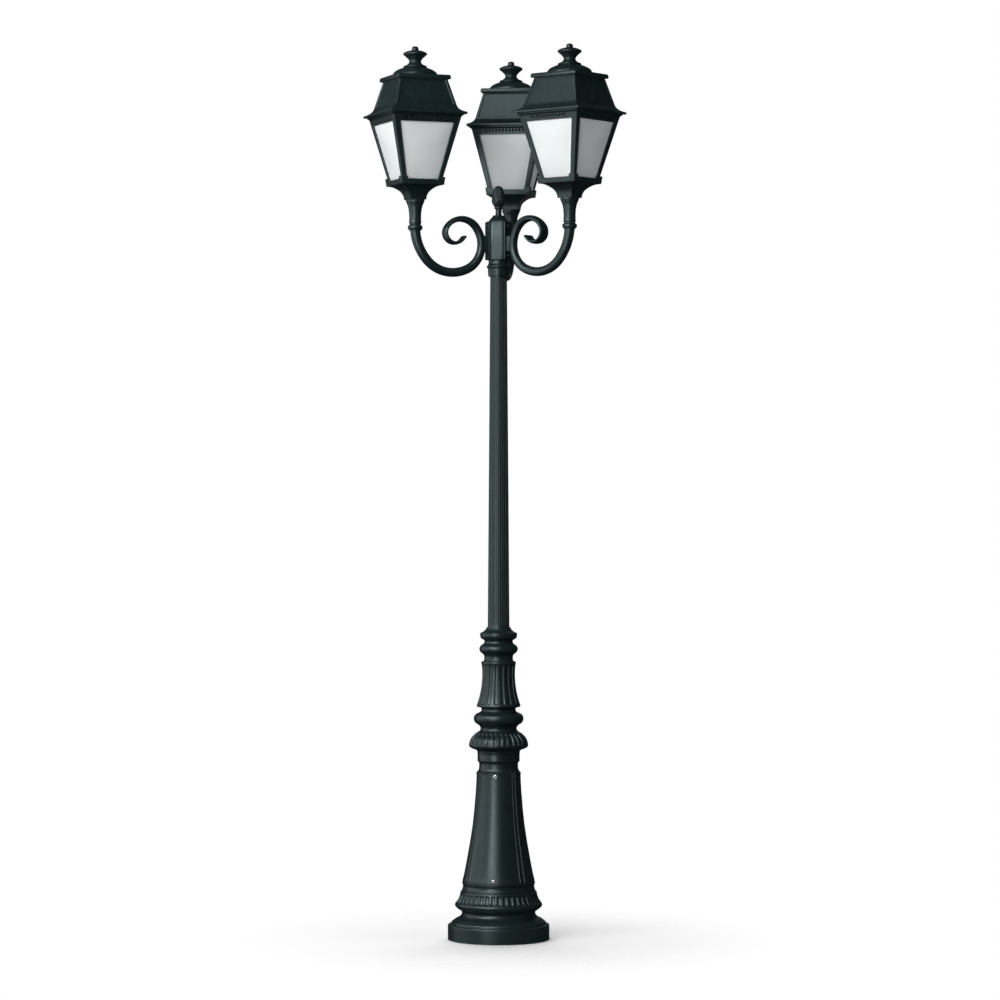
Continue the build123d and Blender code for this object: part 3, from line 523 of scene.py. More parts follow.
def box_part(lo, hi, edge=0.8):
    """Bevelled block between two corners."""
    lo, hi = np.array(lo, float), np.array(hi, float)
    c, s = (lo + hi) / 2, hi - lo
    return slab(s[0], s[1], max(edge, 0.3), -s[2] / 2, s[2] / 2, edge, c, ((1, 0, 0), (0, 1, 0), (0, 0, 1)), edge * 0.7, 3)


# ------------------------------------------------------------------ pedestal, lower casting
FOOT = [(142.8, 0), (142.8, 39.4), (141.9, 41.4), (139.8, 42.2), (134.6, 42.9), (133.3, 43.4), (133.2, 46.2),
        (132.2, 49.0), (130.0, 51.4), (125.4, 53.6), (124.6, 54.6), (122.0, 57.0), (113.0, 61.6), (107.6, 65.6),
        (104.6, 69.8), (103.2, 74.2), (104.2, 79.0), (108.0, 81.8), (113.0, 84.8), (118.0, 88.8),
        (121.4, 92.4), (122.9, 97.0), (121.8, 101.3), (118.4, 105.6), (115.0, 110.0), (112.6, 114.5),
        (110.5, 120.0), (108.8, 125.0), (107.9, 130.0), (107.2, 133.4), (105.9, 135.4), (103.0, 136.4), (102.4, 137.6),
        (102.8, 139.6), (101.6, 143.4), (100.6, 148.0), (100.6, 152.4), (101.6, 154.6), (99.8, 155.4), (99.7, 156.2),
        (102.2, 157.0), (102.9, 159.0), (102.5, 161.0), (101.3, 161.8), (101.2, 162.6), (101.4, 163.0)]
SHAFT = [(102.3, 163.0), (101.3, 167.0), (98.8, 176.0), (96.2, 188.0), (93.4, 202.0), (90.9, 215.0),
         (88.0, 231.0), (85.4, 246.0), (82.8, 260.0), (80.2, 275.0), (77.8, 290.0), (75.4, 306.0),
         (73.2, 321.0), (71.6, 335.0), (69.8, 352.0), (68.1, 368.0), (66.9, 384.0), (65.5, 400.0),
         (64.3, 415.0), (63.4, 430.0), (62.6, 445.0), (62.2, 455.0), (61.9, 463.0), (61.4, 470.0)]
NECK = [(61.4, 470.0), (59.4, 472.0), (57.4, 474.4), (55.8, 477.5), (55.1, 481.0), (55.0, 495.0),
        (56.0, 497.6), (58.4, 499.6), (59.3, 502.0), (59.3, 520.0), (60.0, 525.0), (60.6, 530.0)]
DOOR_HALF = 50.2
RIB_HALF = 1.3
RIBS_CASTING = (55.0, 125.0, 134.5)
RIB_DOOR = 45.5


def rib_columns(centre):
    return centre + RIB_HALF * np.array([-1.0, -0.86, -0.62, -0.3, 0.0, 0.3, 0.62, 0.86, 1.0])


def ribs(rows, ts, centres, height, z0, z1):
    """Raised upright beads with rounded ends."""
    out = np.zeros((len(rows), len(ts)))
    z = rows[:, 1:2]
    fade = np.clip(np.minimum(z - z0, z1 - z) / 2.2, 0.0, 1.0)
    fade = np.sqrt(np.clip(1.0 - (1.0 - fade)**2, 0.0, 1.0))
    for c in centres:
        d = np.abs(((ts - c + 180.0) % 360.0) - 180.0)[None, :] / RIB_HALF
        out = np.maximum(out, height * fade * np.clip(1.0 - d**2, 0.0, 1.0)**0.75)
    return out


def cross_beads(rows, ts, spans, height, z, half):
    """Raised level beads between two angles."""
    out = np.zeros((len(rows), len(ts)))
    v = np.abs(rows[:, 1:2] - z) / half
    prof = height * np.clip(1.0 - v**2, 0.0, 1.0)**0.75
    for a, b in spans:
        inside = ((ts >= a) & (ts <= b))[None, :]
        out = np.maximum(out, prof * inside)
    return out


SHAFT_STEPS = dict(corner=36.0, step=5.0)
foot_rows = np.vstack([curve(FOOT[:23], step=1.7, round_r=0.5)[:-1], curve(FOOT[22:30], step=0.85)[:-1],
                       curve(FOOT[29:], step=1.0, round_r=0.35)])
shaft_rows = curve([(101.4, 163.0)] + SHAFT[1:], **SHAFT_STEPS)
extra = [np.interp(z, shaft_rows[:, 1], shaft_rows[:, 0]) for z in (164.0, 165.0, 166.0, 463.6, 464.4, 465.2, 466.0, 466.8, 467.6, 468.4, 469.2)]
shaft_rows = np.vstack([shaft_rows, np.column_stack([extra, (164.0, 165.0, 166.0, 463.6, 464.4, 465.2, 466.0, 466.8, 467.6, 468.4, 469.2)])])
shaft_rows = shaft_rows[np.argsort(shaft_rows[:, 1])]
shaft_rows = shaft_rows[np.concatenate([[True], np.diff(shaft_rows[:, 1]) > 0.35])]
shaft_rows[-1] = SHAFT[-1]
neck_rows = curve(NECK, step=2.2)
outer = np.vstack([foot_rows[:-1], shaft_rows, neck_rows[1:]])
row_a = len(foot_rows) - 1
row_b = row_a + len(shaft_rows) - 1
inner_top = np.array([(34.0, 530.0), (34.0, 519.0), (49.0, 519.0), (49.0, 481.0), (52.9, 470.0)])
inner_mid = np.array([(55.8, 462.0)] + [(r - 6.0, z) for r, z in reversed(SHAFT[:-2])])
inner_low = np.array([(94.0, 155.0), (93.5, 136.0), (101.0, 124.0), (101.5, 112.0), (97.0, 82.0), (97.0, 50.0),
                      (118.0, 37.0), (134.0, 36.0), (134.0, 0.0)])
inner = np.vstack([inner_top, inner_mid, inner_low])
in_b = len(outer) + len(inner_top) - 1
in_a = len(outer) + len(inner_top) + len(inner_mid) - 1
loop = np.vstack([outer, inner])

ts = merge_columns([-DOOR_HALF, DOOR_HALF, -DOOR_HALF - 0.35, DOOR_HALF + 0.35],
                   *[rib_columns(s * c) for c in RIBS_CASTING for s in (-1, 1)],
                   flute_columns(42, 0.0, 0.64, 11, 3), gap=0.14)
depth = np.zeros((len(loop), len(ts)))
n_out = len(outer)
depth[:n_out] += flutes(outer, ts, 42, 0.0, 103.2, 130.6, 0.64, 2.9)
beads = np.maximum(ribs(outer, ts, [s * c for c in RIBS_CASTING for s in (-1, 1)], 2.5, 163.2, 469.6),
                   cross_beads(outer, ts, [(55.0, 125.0), (-125.0, -55.0), (134.5, 180.1), (-180.1, -134.5)], 1.6, 466.2, 2.0))
depth[:n_out] += beads
P = around(loop, ts, depth)
in_door = (ts >= -DOOR_HALF - 1e-6) & (ts <= DOOR_HALF + 1e-6)
cols = np.where(in_door)[0]
keep = np.ones((len(loop), len(ts)), bool)
keep[row_a:row_b, cols[0]:cols[-1]] = False
keep[in_b:in_a, cols[0]:cols[-1]] = False
body_part = shell(P, wrap_rows=True, keep=keep)
n_cols = len(ts)


def at(row, col):
    return row * n_cols + col


strips = []
for ra, rb in ((row_a, in_a), (row_b, in_b)):
    for c in range(cols[0], cols[-1]):
        strips.append((at(ra, c), at(ra, c + 1), at(rb, c + 1), at(rb, c)))
body_part[1] = np.vstack([body_part[1], np.array(strips)])
for c in (cols[0], cols[-1]):
    body_part[3].append([at(r, c) for r in range(row_a, row_b + 1)] + [at(r, c) for r in range(in_b, in_a + 1)])


def block(lo, hi, edge=1.0):
    return box_part(lo, hi, edge)


lugs = [block((-10, -53.5, 453.0), (10, -44.5, 486.0)), block((-10, -90.0, 148.0), (10, -78.0, 182.0)),
        block((-10, -96.8, 145.0), (10, -79.0, 162.4))]
for k in range(4):
    a = radians(90.0 * k)
    ex, ey = np.array([cos(a), sin(a), 0]), np.array([-sin(a), cos(a), 0])
    lugs.append(slab(37.0, 26.0, 2.0, -6.0, 6.0, 1.0, ex * 116.5 + UP * 14.0, (ex, ey, UP)))
emit("base_casting", [body_part] + lugs, PAINT, "root", ["base_casting"], heal=True)

# ------------------------------------------------------------------ service door
door_pts = [(102.2, 163.6)] + SHAFT[1:-1] + [(61.43, 469.4)]
door_rows = curve(door_pts, step=5.0)
extra_z = [164.3, 165.2, 166.2, 463.4, 464.2, 465.0, 465.8, 466.6, 467.4, 468.2, 468.9]
door_rows = np.vstack([door_rows, np.column_stack([np.interp(extra_z, door_rows[:, 1], door_rows[:, 0]), extra_z])])
door_rows = door_rows[np.argsort(door_rows[:, 1])]
door_rows = door_rows[np.concatenate([[True], np.diff(door_rows[:, 1]) > 0.3])]
edge_half = DOOR_HALF - 0.45
door_ts = merge_columns([-edge_half, edge_half, -edge_half + 0.35, edge_half - 0.35], rib_columns(RIB_DOOR), rib_columns(-RIB_DOOR),
                        np.arange(-48.0, 48.01, 1.5), gap=0.2)
door_out = np.maximum(ribs(door_rows, door_ts, [RIB_DOOR, -RIB_DOOR], 2.5, 163.9, 469.2),
                      cross_beads(door_rows, door_ts, [(-RIB_DOOR, RIB_DOOR)], 1.4, 466.2, 2.0))
edge_drop = np.where(np.abs(door_ts) > edge_half - 0.1, -0.5, 0.0)[None, :]
end_drop = np.zeros((len(door_rows), 1))
end_drop[0] = end_drop[-1] = -0.5
door_out = door_out + np.minimum(edge_drop, end_drop)
door_inner = np.column_stack([door_rows[::-6, 0] - 5.4, door_rows[::-6, 1]])
if abs(door_inner[-1, 1] - door_rows[0, 1]) > 0.5:
    door_inner = np.vstack([door_inner, [door_rows[0, 0] - 5.4, door_rows[0, 1]]])
door_loop = np.vstack([door_rows, door_inner])
door_depth = np.zeros((len(door_loop), len(door_ts)))
door_depth[:len(door_rows)] = door_out
Pd = around(door_loop, door_ts, door_depth)
door_part = shell(Pd, wrap_rows=True, wrap_cols=False)
for c in (0, len(door_ts) - 1):
    door_part[3].append([r * len(door_ts) + c for r in range(len(door_loop))])
door = emit("access_door", [door_part], PAINT, "door", ["access_door"], heal=True)
DOOR_SEATS = ((170.5, 99.4), (460.0, 61.3))
FRONT = np.array([0.0, -1.0, 0.0])
cut(door, [turned_local([(0, 0), (6.1, 0), (6.5, 0.4), (6.5, 22.0), (0, 22.0)], (0, -face, z), frame_of(FRONT),
                        np.arange(0, 360, 6.0)) for z, face in DOOR_SEATS])
emit("door_screws", [screw_head((0, -face, z), FRONT, 5.6, 2.4, 2.9, 2.3, 3.0, 14.5, 0.45) for z, face in DOOR_SEATS],
     BRIGHT, "door", ["door_screws"])

# ------------------------------------------------------------------ pedestal, upper casting
UPPER = [
    (60.6, 530.0), (65.0, 532.6), (71.2, 534.9), (76.8, 537.4), (81.6, 540.4), (83.3, 544.0), (83.4, 547.5),
    (82.6, 551.5), (81.6, 555.5), (80.2, 560.0), (78.0, 564.4), (75.2, 568.4), (71.6, 572.4), (68.4, 575.4),
    (65.6, 578.0), (61.6, 580.6), (56.8, 583.6), (53.4, 586.4), (51.4, 589.4), (50.9, 592.8), (51.8, 596.6),
    (53.6, 599.6), (56.8, 602.4), (61.6, 605.4), (65.6, 608.4), (68.0, 612.0), (69.6, 616.5), (70.0, 621.0),
    (69.4, 625.4), (67.4, 629.4), (64.2, 632.6), (59.0, 635.6), (53.6, 638.0), (50.0, 640.6), (48.4, 643.6),
    (47.9, 646.4), (49.0, 649.4), (51.6, 651.6), (58.6, 652.8), (61.4, 654.4), (61.6, 656.8),
    (60.4, 661.0), (58.4, 667.4), (56.0, 675.0), (53.6, 684.0), (51.4, 694.0), (49.4, 705.0), (47.8, 717.0),
    (46.7, 730.0), (46.2, 742.0), (46.4, 754.0), (47.0, 764.0), (48.2, 773.0), (48.7, 778.0), (48.2, 780.4),
    (44.0, 781.6), (41.0, 783.4), (40.5, 788.0), (40.5, 794.4), (41.6, 798.6), (44.6, 802.0), (49.0, 805.2),
    (52.2, 809.0), (53.9, 813.6), (54.0, 817.4), (52.6, 822.0), (49.4, 826.0), (45.4, 829.0), (41.8, 831.6),
    (40.2, 834.6), (39.9, 838.0), (41.4, 840.8), (45.2, 843.2), (49.2, 845.8), (51.4, 850.0), (52.1, 855.0),
    (52.0, 860.4), (50.0, 861.6), (45.8, 863.4), (41.6, 866.0), (38.4, 868.8), (35.8, 871.8), (34.2, 874.6),
    (32.4, 878.0)]


def upper_slice(z0, z1, step):
    return curve([p for p in UPPER if z0 - 0.01 <= p[1] <= z1 + 0.01], step=step, corner=38.0)


upper_rows = np.vstack([upper_slice(530.0, 544.0, 1.8)[:-1], upper_slice(544.0, 583.6, 0.95)[:-1],
                        upper_slice(583.6, 656.8, 2.1)[:-1], upper_slice(656.8, 675.0, 1.0)[:-1],
                        upper_slice(675.0, 754.0, 5.0)[:-1], upper_slice(754.0, 780.4, 1.2)[:-1],
                        upper_slice(780.4, 878.0, 2.1)])
upper_ts = merge_columns(flute_columns(30, 0.0, 0.54, 9, 4), flute_columns(18, 0.0, 0.60, 9, 5), gap=0.22)
upper_bore = np.array([(30.6, 878.0), (30.6, 640.0), (22.0, 640.0), (22.0, 628.0), (42.0, 628.0), (42.0, 546.0),
                       (34.0, 546.0), (34.0, 530.0)])
upper_loop = np.vstack([upper_rows, upper_bore])
upper_depth = np.zeros((len(upper_loop), len(upper_ts)))
k = len(upper_rows)
upper_depth[:k] += flutes(upper_rows, upper_ts, 30, 0.0, 546.5, 579.5, 0.54, 3.0)
upper_depth[:k] += flutes(upper_rows, upper_ts, 18, 0.0, 660.5, 775.5, 0.60, 2.6)
emit("pedestal_upper", [shell(around(upper_loop, upper_ts, upper_depth), wrap_rows=True)], PAINT, "root",
     ["pedestal_upper"])

# ------------------------------------------------------------------ pole
pole_z = np.concatenate([[640.0, 880.5], np.arange(883.0, 892.0, 0.7), np.linspace(893.0, 1848.0, 16),
                         np.arange(1850.0, 1859.5, 0.7), [1862.0, 1864.0]])
pole_rows = np.column_stack([np.interp(pole_z, [640.0, 880.0, 1864.0], [30.5, 30.5, 23.6]), pole_z])
pole_rest = np.array([(23.3, 1910.0), (21.0, 1910.0), (21.0, 1926.0), (17.0, 1926.0), (17.0, 618.0), (21.5, 618.0), (21.5, 640.0)])
pole_ts = merge_columns(flute_columns(28, 9.6, 0.60, 7, 3), gap=0.1)
pole_depth = np.zeros((len(pole_rows) + len(pole_rest), len(pole_ts)))
pole_depth[:len(pole_rows)] = flutes(pole_rows, pole_ts, 28, 9.6, 883.5, 1858.5, 0.60, 1.1, 2.2)
emit("pole", [shell(around(np.vstack([pole_rows, pole_rest]), pole_ts, pole_depth), wrap_rows=True)], PAINT, "root",
     ["pole"])

# ------------------------------------------------------------------ hub
round_ts = np.arange(-180, 180, 2.5)
collar = np.vstack([curve([(24.2, 1864.0), (28.6, 1864.0), (29.0, 1865.2), (29.3, 1868.0), (30.2, 1882.5), (30.4, 1886.0),
                           (32.6, 1888.4), (33.5, 1890.6), (32.8, 1893.0), (30.6, 1896.0), (28.8, 1899.6), (28.0, 1903.6),
                           (28.4, 1907.4), (29.4, 1910.0)], step=1.2, corner=40.0), [(24.2, 1910.0)]])
emit("hub_collar", [shell(around(collar, round_ts), wrap_rows=True)], PAINT, "root", ["hub_collar"])

hex_ts = np.sort(np.concatenate([[k * 60.0 + a for a in (-28.88, -20.0, 0.0, 20.0, 28.88, 30.0)] for k in range(-3, 3)]))
hub_rows = np.array([(29.0, 1910.0), (29.7, 1910.3), (30.0, 1911.0), (30.0, 2015.2), (29.7, 2015.8), (29.2, 2016.0), (26.0, 2016.0),
                     (26.0, 1916.0), (20.0, 1916.0), (20.0, 1910.0)])
emit("hub_body", [shell(around(hub_rows, hex_ts, factor=hex_factor(hex_ts)[None, :]), wrap_rows=True)], PAINT, "root",
     ["hub_body"], sharp=28.0)

cap_ts = merge_columns(hex_ts, np.arange(-180, 180, 3.0), gap=0.5)
cap_hex = [(0, 2010.0), (25.7, 2010.0), (25.7, 2016.0), (29.4, 2016.0), (29.9, 2016.4), (30.0, 2017.0), (30.0, 2018.0), (29.7, 2018.5),
           (29.2, 2018.7)]
cap_round = curve([(28.6, 2018.7), (27.6, 2020.5), (22.6, 2026.4), (17.6, 2031.8), (16.4, 2034.6), (15.8, 2035.5)], step=1.0)
cap_rows = np.vstack([cap_hex, cap_round, [(0, 2035.5)]])
cap_f = np.ones((len(cap_rows), len(cap_ts)))
cap_f[:len(cap_hex)] = hex_factor(cap_ts)[None, :]
emit("hub_cap", [shell(around(cap_rows, cap_ts, factor=cap_f))], PAINT, "root", ["hub_cap"], sharp=28.0)

# pinecone: stem and ring, calyx with leaves, then scales in a spiral lattice
stem = curve([(10.4, 2035.5), (9.0, 2037.6), (8.7, 2052.5), (9.6, 2053.6), (11.6, 2054.5), (12.0, 2056.6), (11.4, 2058.6), (12.2, 2060.4),
              (14.0, 2063.0), (17.6, 2069.5), (19.8, 2075.0), (19.9, 2077.2), (19.0, 2078.6)], step=0.7, corner=50.0)
egg = curve([(19.0, 2078.6), (18.6, 2082.0), (17.2, 2088.0), (16.4, 2094.0), (15.2, 2101.0), (12.6, 2109.0), (9.4, 2114.0), (5.4, 2117.6),
             (1.6, 2119.2)], step=0.45)
pine_ts = np.arange(-180, 180, 1.875)
pine_rows = np.vstack([[(0, 2008.0), (5.0, 2008.0), (5.0, 2035.5)], stem, egg[1:], [(0, 2119.4)]])
z = pine_rows[:, 1:2]
a = pine_ts[None, :]
lift = (z - 2078.6) / 9.2
p, q = a / 30.0 + lift / 1.0, a / 30.0 - lift / 1.0
fa, fb = np.abs((p % 1.0) - 0.5) * 2, np.abs((q % 1.0) - 0.5) * 2
pillow = (1.0 - fa**2.2) * (1.0 - fb**2.2)
tip = np.clip(1.0 - np.hypot((p % 1.0) - 0.55, (q % 1.0) - 0.45) * 3.0, 0.0, 1.0)
fade = np.clip((z - 2078.8) / 1.5, 0.0, 1.0) * np.clip((2119.2 - z) / 5.0, 0.0, 1.0)
scales = fade * (1.5 * pillow**0.55 - 0.75 + 0.5 * tip)
leaf = np.clip((z - 2061.5) / 10.0, 0.0, 1.0) * np.clip((2077.5 - z) / 1.2, 0.0, 1.0)
scales = scales - leaf * 1.5 * np.abs(np.sin(np.radians(a * 4.0)))**6
emit("pinecone_finial", [shell(around(pine_rows, pine_ts, scales))], PAINT, "root", ["pinecone_finial"], sharp=50.0)

# ------------------------------------------------------------------ arms
ARM_ARCS = [(133.64, 82.81), (202.36, 12.01), (97.40, 64.04), (105.99, 72.61), (74.45, 56.28), (79.94, 85.13), (53.90, 98.51),
            (28.40, 81.26), (47.70, 16.36)]
ARM_SECTIONS = [(14.45, 14.4), (13.55, 13.5), (13.45, 13.4), (12.85, 12.8), (12.65, 12.6), (12.3, 12.2), (12.6, 11.2), (18.0, 6.2),
                (19.2, 4.9), (19.4, 4.4)]


def arm_stations(step=2.4):
    """Along the arm in its own plane: x, y, heading, half widths across and within, how flat its inner side is."""
    out, x, y, h = [], ARM_R, 1996.0, -90.0
    flat = [0, 0, 0, 0, 0, 0.1, 0.45, 1, 1, 1]
    for i, (radius, length) in enumerate(ARM_ARCS):
        turn = degrees(length / radius)
        count = max(2, int(round(length / step)))
        for n in range(count + (1 if i == len(ARM_ARCS) - 1 else 0)):
            u = n / count
            h0, h1 = radians(h), radians(h - turn * u)
            px = x + radius * (sin(h0) - sin(h1))
            py = y - radius * (cos(h0) - cos(h1))
            (a0, w0), (a1, w1) = ARM_SECTIONS[i], ARM_SECTIONS[i + 1]
            out.append((px, py, h1, a0 + (a1 - a0) * u, w0 + (w1 - w0) * u, flat[i] + (flat[i + 1] - flat[i]) * u))
        h0, h1 = radians(h), radians(h - turn)
        x += radius * (sin(h0) - sin(h1))
        y -= radius * (cos(h0) - cos(h1))
        h -= turn
    st = np.array(out)
    for c in (3, 4, 5):
        padded = np.concatenate([np.full(4, st[0, c]), st[:, c], np.full(4, st[-1, c])])
        st[:, c] = np.convolve(padded, np.ones(9) / 9.0, "valid")
    return st


STATIONS = arm_stations()
TAU = np.linspace(0, 2 * pi, 56, endpoint=False)


def arm_part(deg):
    d, across = direction(deg), -sideways(deg)
    grid = []

    def ring(st, inset=0.0, ahead=0.0):
        px, py, h, a, w, flat = st
        centre = d * (px + ahead * cos(h)) + UP * (py + ahead * sin(h))
        normal = -sin(h) * d + cos(h) * UP
        c, s = np.cos(TAU), np.sin(TAU)
        # the inner side of the curl is flatter than the outer
        power = 1.0 - 0.58 * flat
        xs = np.sign(c) * np.abs(c)**(1.0 - 0.22 * flat) * (a - inset)
        up = np.where(s > 0, s, -np.abs(s)**power * (1.0 - 0.12 * flat)) * (w - inset)
        return centre + xs[:, None] * across + up[:, None] * normal

    first, last = STATIONS[0], STATIONS[-1]
    grid.append(np.tile(d * first[0] + UP * first[1], (len(TAU), 1)))
    for st in STATIONS:
        grid.append(ring(st))
    grid.append(ring(last, 0.45, 0.5))
    grid.append(ring(last, 1.1, 0.75))
    grid.append(np.tile(d * (last[0] + 0.75 * cos(last[2])) + UP * (last[1] + 0.75 * sin(last[2])), (len(TAU), 1)))
    return shell(np.array(grid))


NECK_PTS = [(14.7, 1986.0), (17.2, 1986.4), (17.6, 1988.6), (19.6, 1990.4), (20.6, 1993.4), (20.6, 1996.6), (19.6, 1999.4),
            (17.0, 2001.4), (15.5, 2003.0), (15.5, 2005.4), (17.4, 2006.6), (17.5, 2009.6), (16.9, 2012.0), (16.7, 2020.0),
            (16.9, 2030.0), (17.7, 2040.0), (19.2, 2049.0), (21.4, 2057.0), (23.8, 2062.6), (24.2, 2064.4), (25.9, 2065.6),
            (26.0, 2070.6), (25.0, 2072.0)]

LEAN = atan(0.2370)
CL, SL = cos(LEAN), sin(LEAN)


def frame_h(z):
    return 61.1 + 0.2370 * (z - 2132.4)


def square_ring(h, z, rc, deg, extras=None, arc=3):
    """One level of a four-sided form: face points, then a rounded corner, four times."""
    c = ARM_R * direction(deg)
    pts = []
    us = [-(h - rc)] + (list(extras(h, rc, z)) if extras else []) + [h - rc]
    for k in range(4):
        n, s = direction(deg + 90.0 * k), sideways(deg + 90.0 * k)
        for u in us:
            pts.append(c + n * h + s * u + UP * z)
        for j in range(1, arc + 1):
            th = radians(90.0 * j / (arc + 1))
            pts.append(c + n * (h - rc + rc * cos(th)) + s * (h - rc + rc * sin(th)) + UP * z)
    return np.array(pts)


def square_loft(rows, deg, extras=None, wrap=True, arc=3):
    """rows: (half width, z, corner radius); a half width of 0 is a pole."""
    grid = []
    for h, z, rc in rows:
        if h <= 0:
            ring = square_ring(10.0, z, 1.0, deg, extras, arc)
            ring[:] = ARM_R * direction(deg) + UP * z
        else:
            ring = square_ring(h, z, rc, deg, extras, arc)
        grid.append(ring)
    return shell(np.array(grid), wrap_rows=wrap)


def with_rc(rows, rc):
    return [(r, z, rc) for r, z in rows]


# ------------------------------------------------------------------ lantern frame: four leaning faces, pierced
FRAME_T = 4.0
WIN_Z0, WIN_Z1, WIN_W0, WIN_W1 = 2125.3, 2281.0, 46.0, 78.6
CORNER_R = 2.2


def face_point(deg, along, u, z, t=0.0):
    """Point on a leaning face, t millimetres behind it."""
    n = direction(deg + along)
    return ARM_R * direction(deg) + n * frame_h(z) + sideways(deg + along) * u + UP * z - t * (CL * n - SL * UP)


def window_loop(grow):
    """Corners of the window, grown outwards, as (u, z)."""
    slope = (WIN_W1 - WIN_W0) / (WIN_Z1 - WIN_Z0)
    lo, hi = WIN_Z0 - grow * CL, WIN_Z1 + grow * CL
    half = lambda z: WIN_W0 + slope * (z - WIN_Z0) + grow * 1.02
    return [(-half(lo), lo), (half(lo), lo), (half(hi), hi), (-half(hi), hi)]


def slot_loop(u, grow):
    hw, hh, r = 2.1 + grow, 3.8 * CL + grow, 1.2
    pts = []
    for cx, cz, a0 in ((hw - r, hh - r, 0), (-hw + r, hh - r, 90), (-hw + r, -hh + r, 180), (hw - r, -hh + r, 270)):
        for j in range(4):
            a = radians(a0 + 30.0 * j)
            pts.append((u + cx + r * cos(a), 2292.0 + cz + r * sin(a)))
    return pts


def frame_part(deg):
    verts, tris, quads, ngons = [], [], [], []

    def put(points):
        start = len(verts)
        verts.extend(points)
        return list(range(start, start + len(points)))

    z0, z1 = 2115.0, 2304.6
    for along in (0, 90, 180, 270):
        def outer_edge(z):
            return frame_h(z) - CORNER_R
        outer = [(-outer_edge(z0), z0), (outer_edge(z0), z0), (outer_edge(z1), z1), (-outer_edge(z1), z1)]
        holes_front = [window_loop(1.1)] + [slot_loop(9.6 * k, 0.45) for k in range(-6, 7)]
        holes_mid = [window_loop(0.0)] + [slot_loop(9.6 * k, 0.0) for k in range(-6, 7)]
        depths = [1.1] + [0.45] * 13
        loops = [[face_point(deg, along, u, z) for u, z in lp] for lp in [outer] + holes_front]
        flat = [put(lp) for lp in loops]
        index = [i for lp in flat for i in lp]
        flat2d = [[Vector((u, z, 0.0)) for u, z in lp] for lp in [outer] + holes_front]
        for a, b, c in tessellate_polygon(flat2d):
            tris.append((index[a], index[b], index[c]))
        # inner face
        inset = FRAME_T / CL

        def inner_point(u, z):
            n = direction(deg + along)
            return ARM_R * direction(deg) + n * (frame_h(z) - inset) + sideways(deg + along) * u + UP * z
        inner_outer = [(-(frame_h(z0) - inset), z0), (frame_h(z0) - inset, z0), (frame_h(z1) - inset, z1),
                       (-(frame_h(z1) - inset), z1)]
        back_idx = [put([inner_point(u, z) for u, z in inner_outer])]
        back_2d = [[Vector((u, z, 0.0)) for u, z in inner_outer]]
        for h, lp in enumerate(holes_mid):
            back_idx.append(put([face_point(deg, along, u, z, FRAME_T) for u, z in lp]))
            back_2d.append([Vector((u, z + FRAME_T * SL, 0.0)) for u, z in lp])
            mid = put([face_point(deg, along, u, z, depths[h]) for u, z in lp])
            front = flat[h + 1]
            back = back_idx[-1]
            m = len(lp)
            for j in range(m):
                quads.append((front[j], front[(j + 1) % m], mid[(j + 1) % m], mid[j]))
                quads.append((mid[j], mid[(j + 1) % m], back[(j + 1) % m], back[j]))
        index = [i for lp in back_idx for i in lp]
        for a, b, c in tessellate_polygon(back_2d):
            tris.append((index[c], index[b], index[a]))
        # rounded outer corner to the next face, and the top and bottom rims
        ring = {}
        for z, key in ((z0, "lo"), (z1, "hi")):
            n, s = direction(deg + along), sideways(deg + along)
            h = frame_h(z) - CORNER_R
            arc = []
            for j in range(0, 7):
                th = radians(90.0 * j / 6)
                arc.append(ARM_R * direction(deg) + n * (h + CORNER_R * cos(th)) + s * (h + CORNER_R * sin(th)) + UP * z)
            ring[key] = put(arc)
        for j in range(6):
            quads.append((ring["lo"][j], ring["lo"][j + 1], ring["hi"][j + 1], ring["hi"][j]))
        for key, f, b in (("lo", flat[0][:2], back_idx[0][:2]), ("hi", [flat[0][3], flat[0][2]], [back_idx[0][3], back_idx[0][2]])):
            # front edge from left to right, then the corner's arc, then the inner edge back
            ngons.append([f[0], f[1]] + ring[key][1:4] + [b[1], b[0]])
            ngons.append([ring[key][3]] + ring[key][4:7] + [b[1]])
    return [np.array(verts), np.array(quads), np.array(tris), ngons]


def extras_tray(h, rc, z):
    lim = h - rc
    u = (46.5, 45.5) if lim > 47.2 else (lim * 0.985, lim * 0.96)
    return (-u[0], -u[1], u[1], u[0])


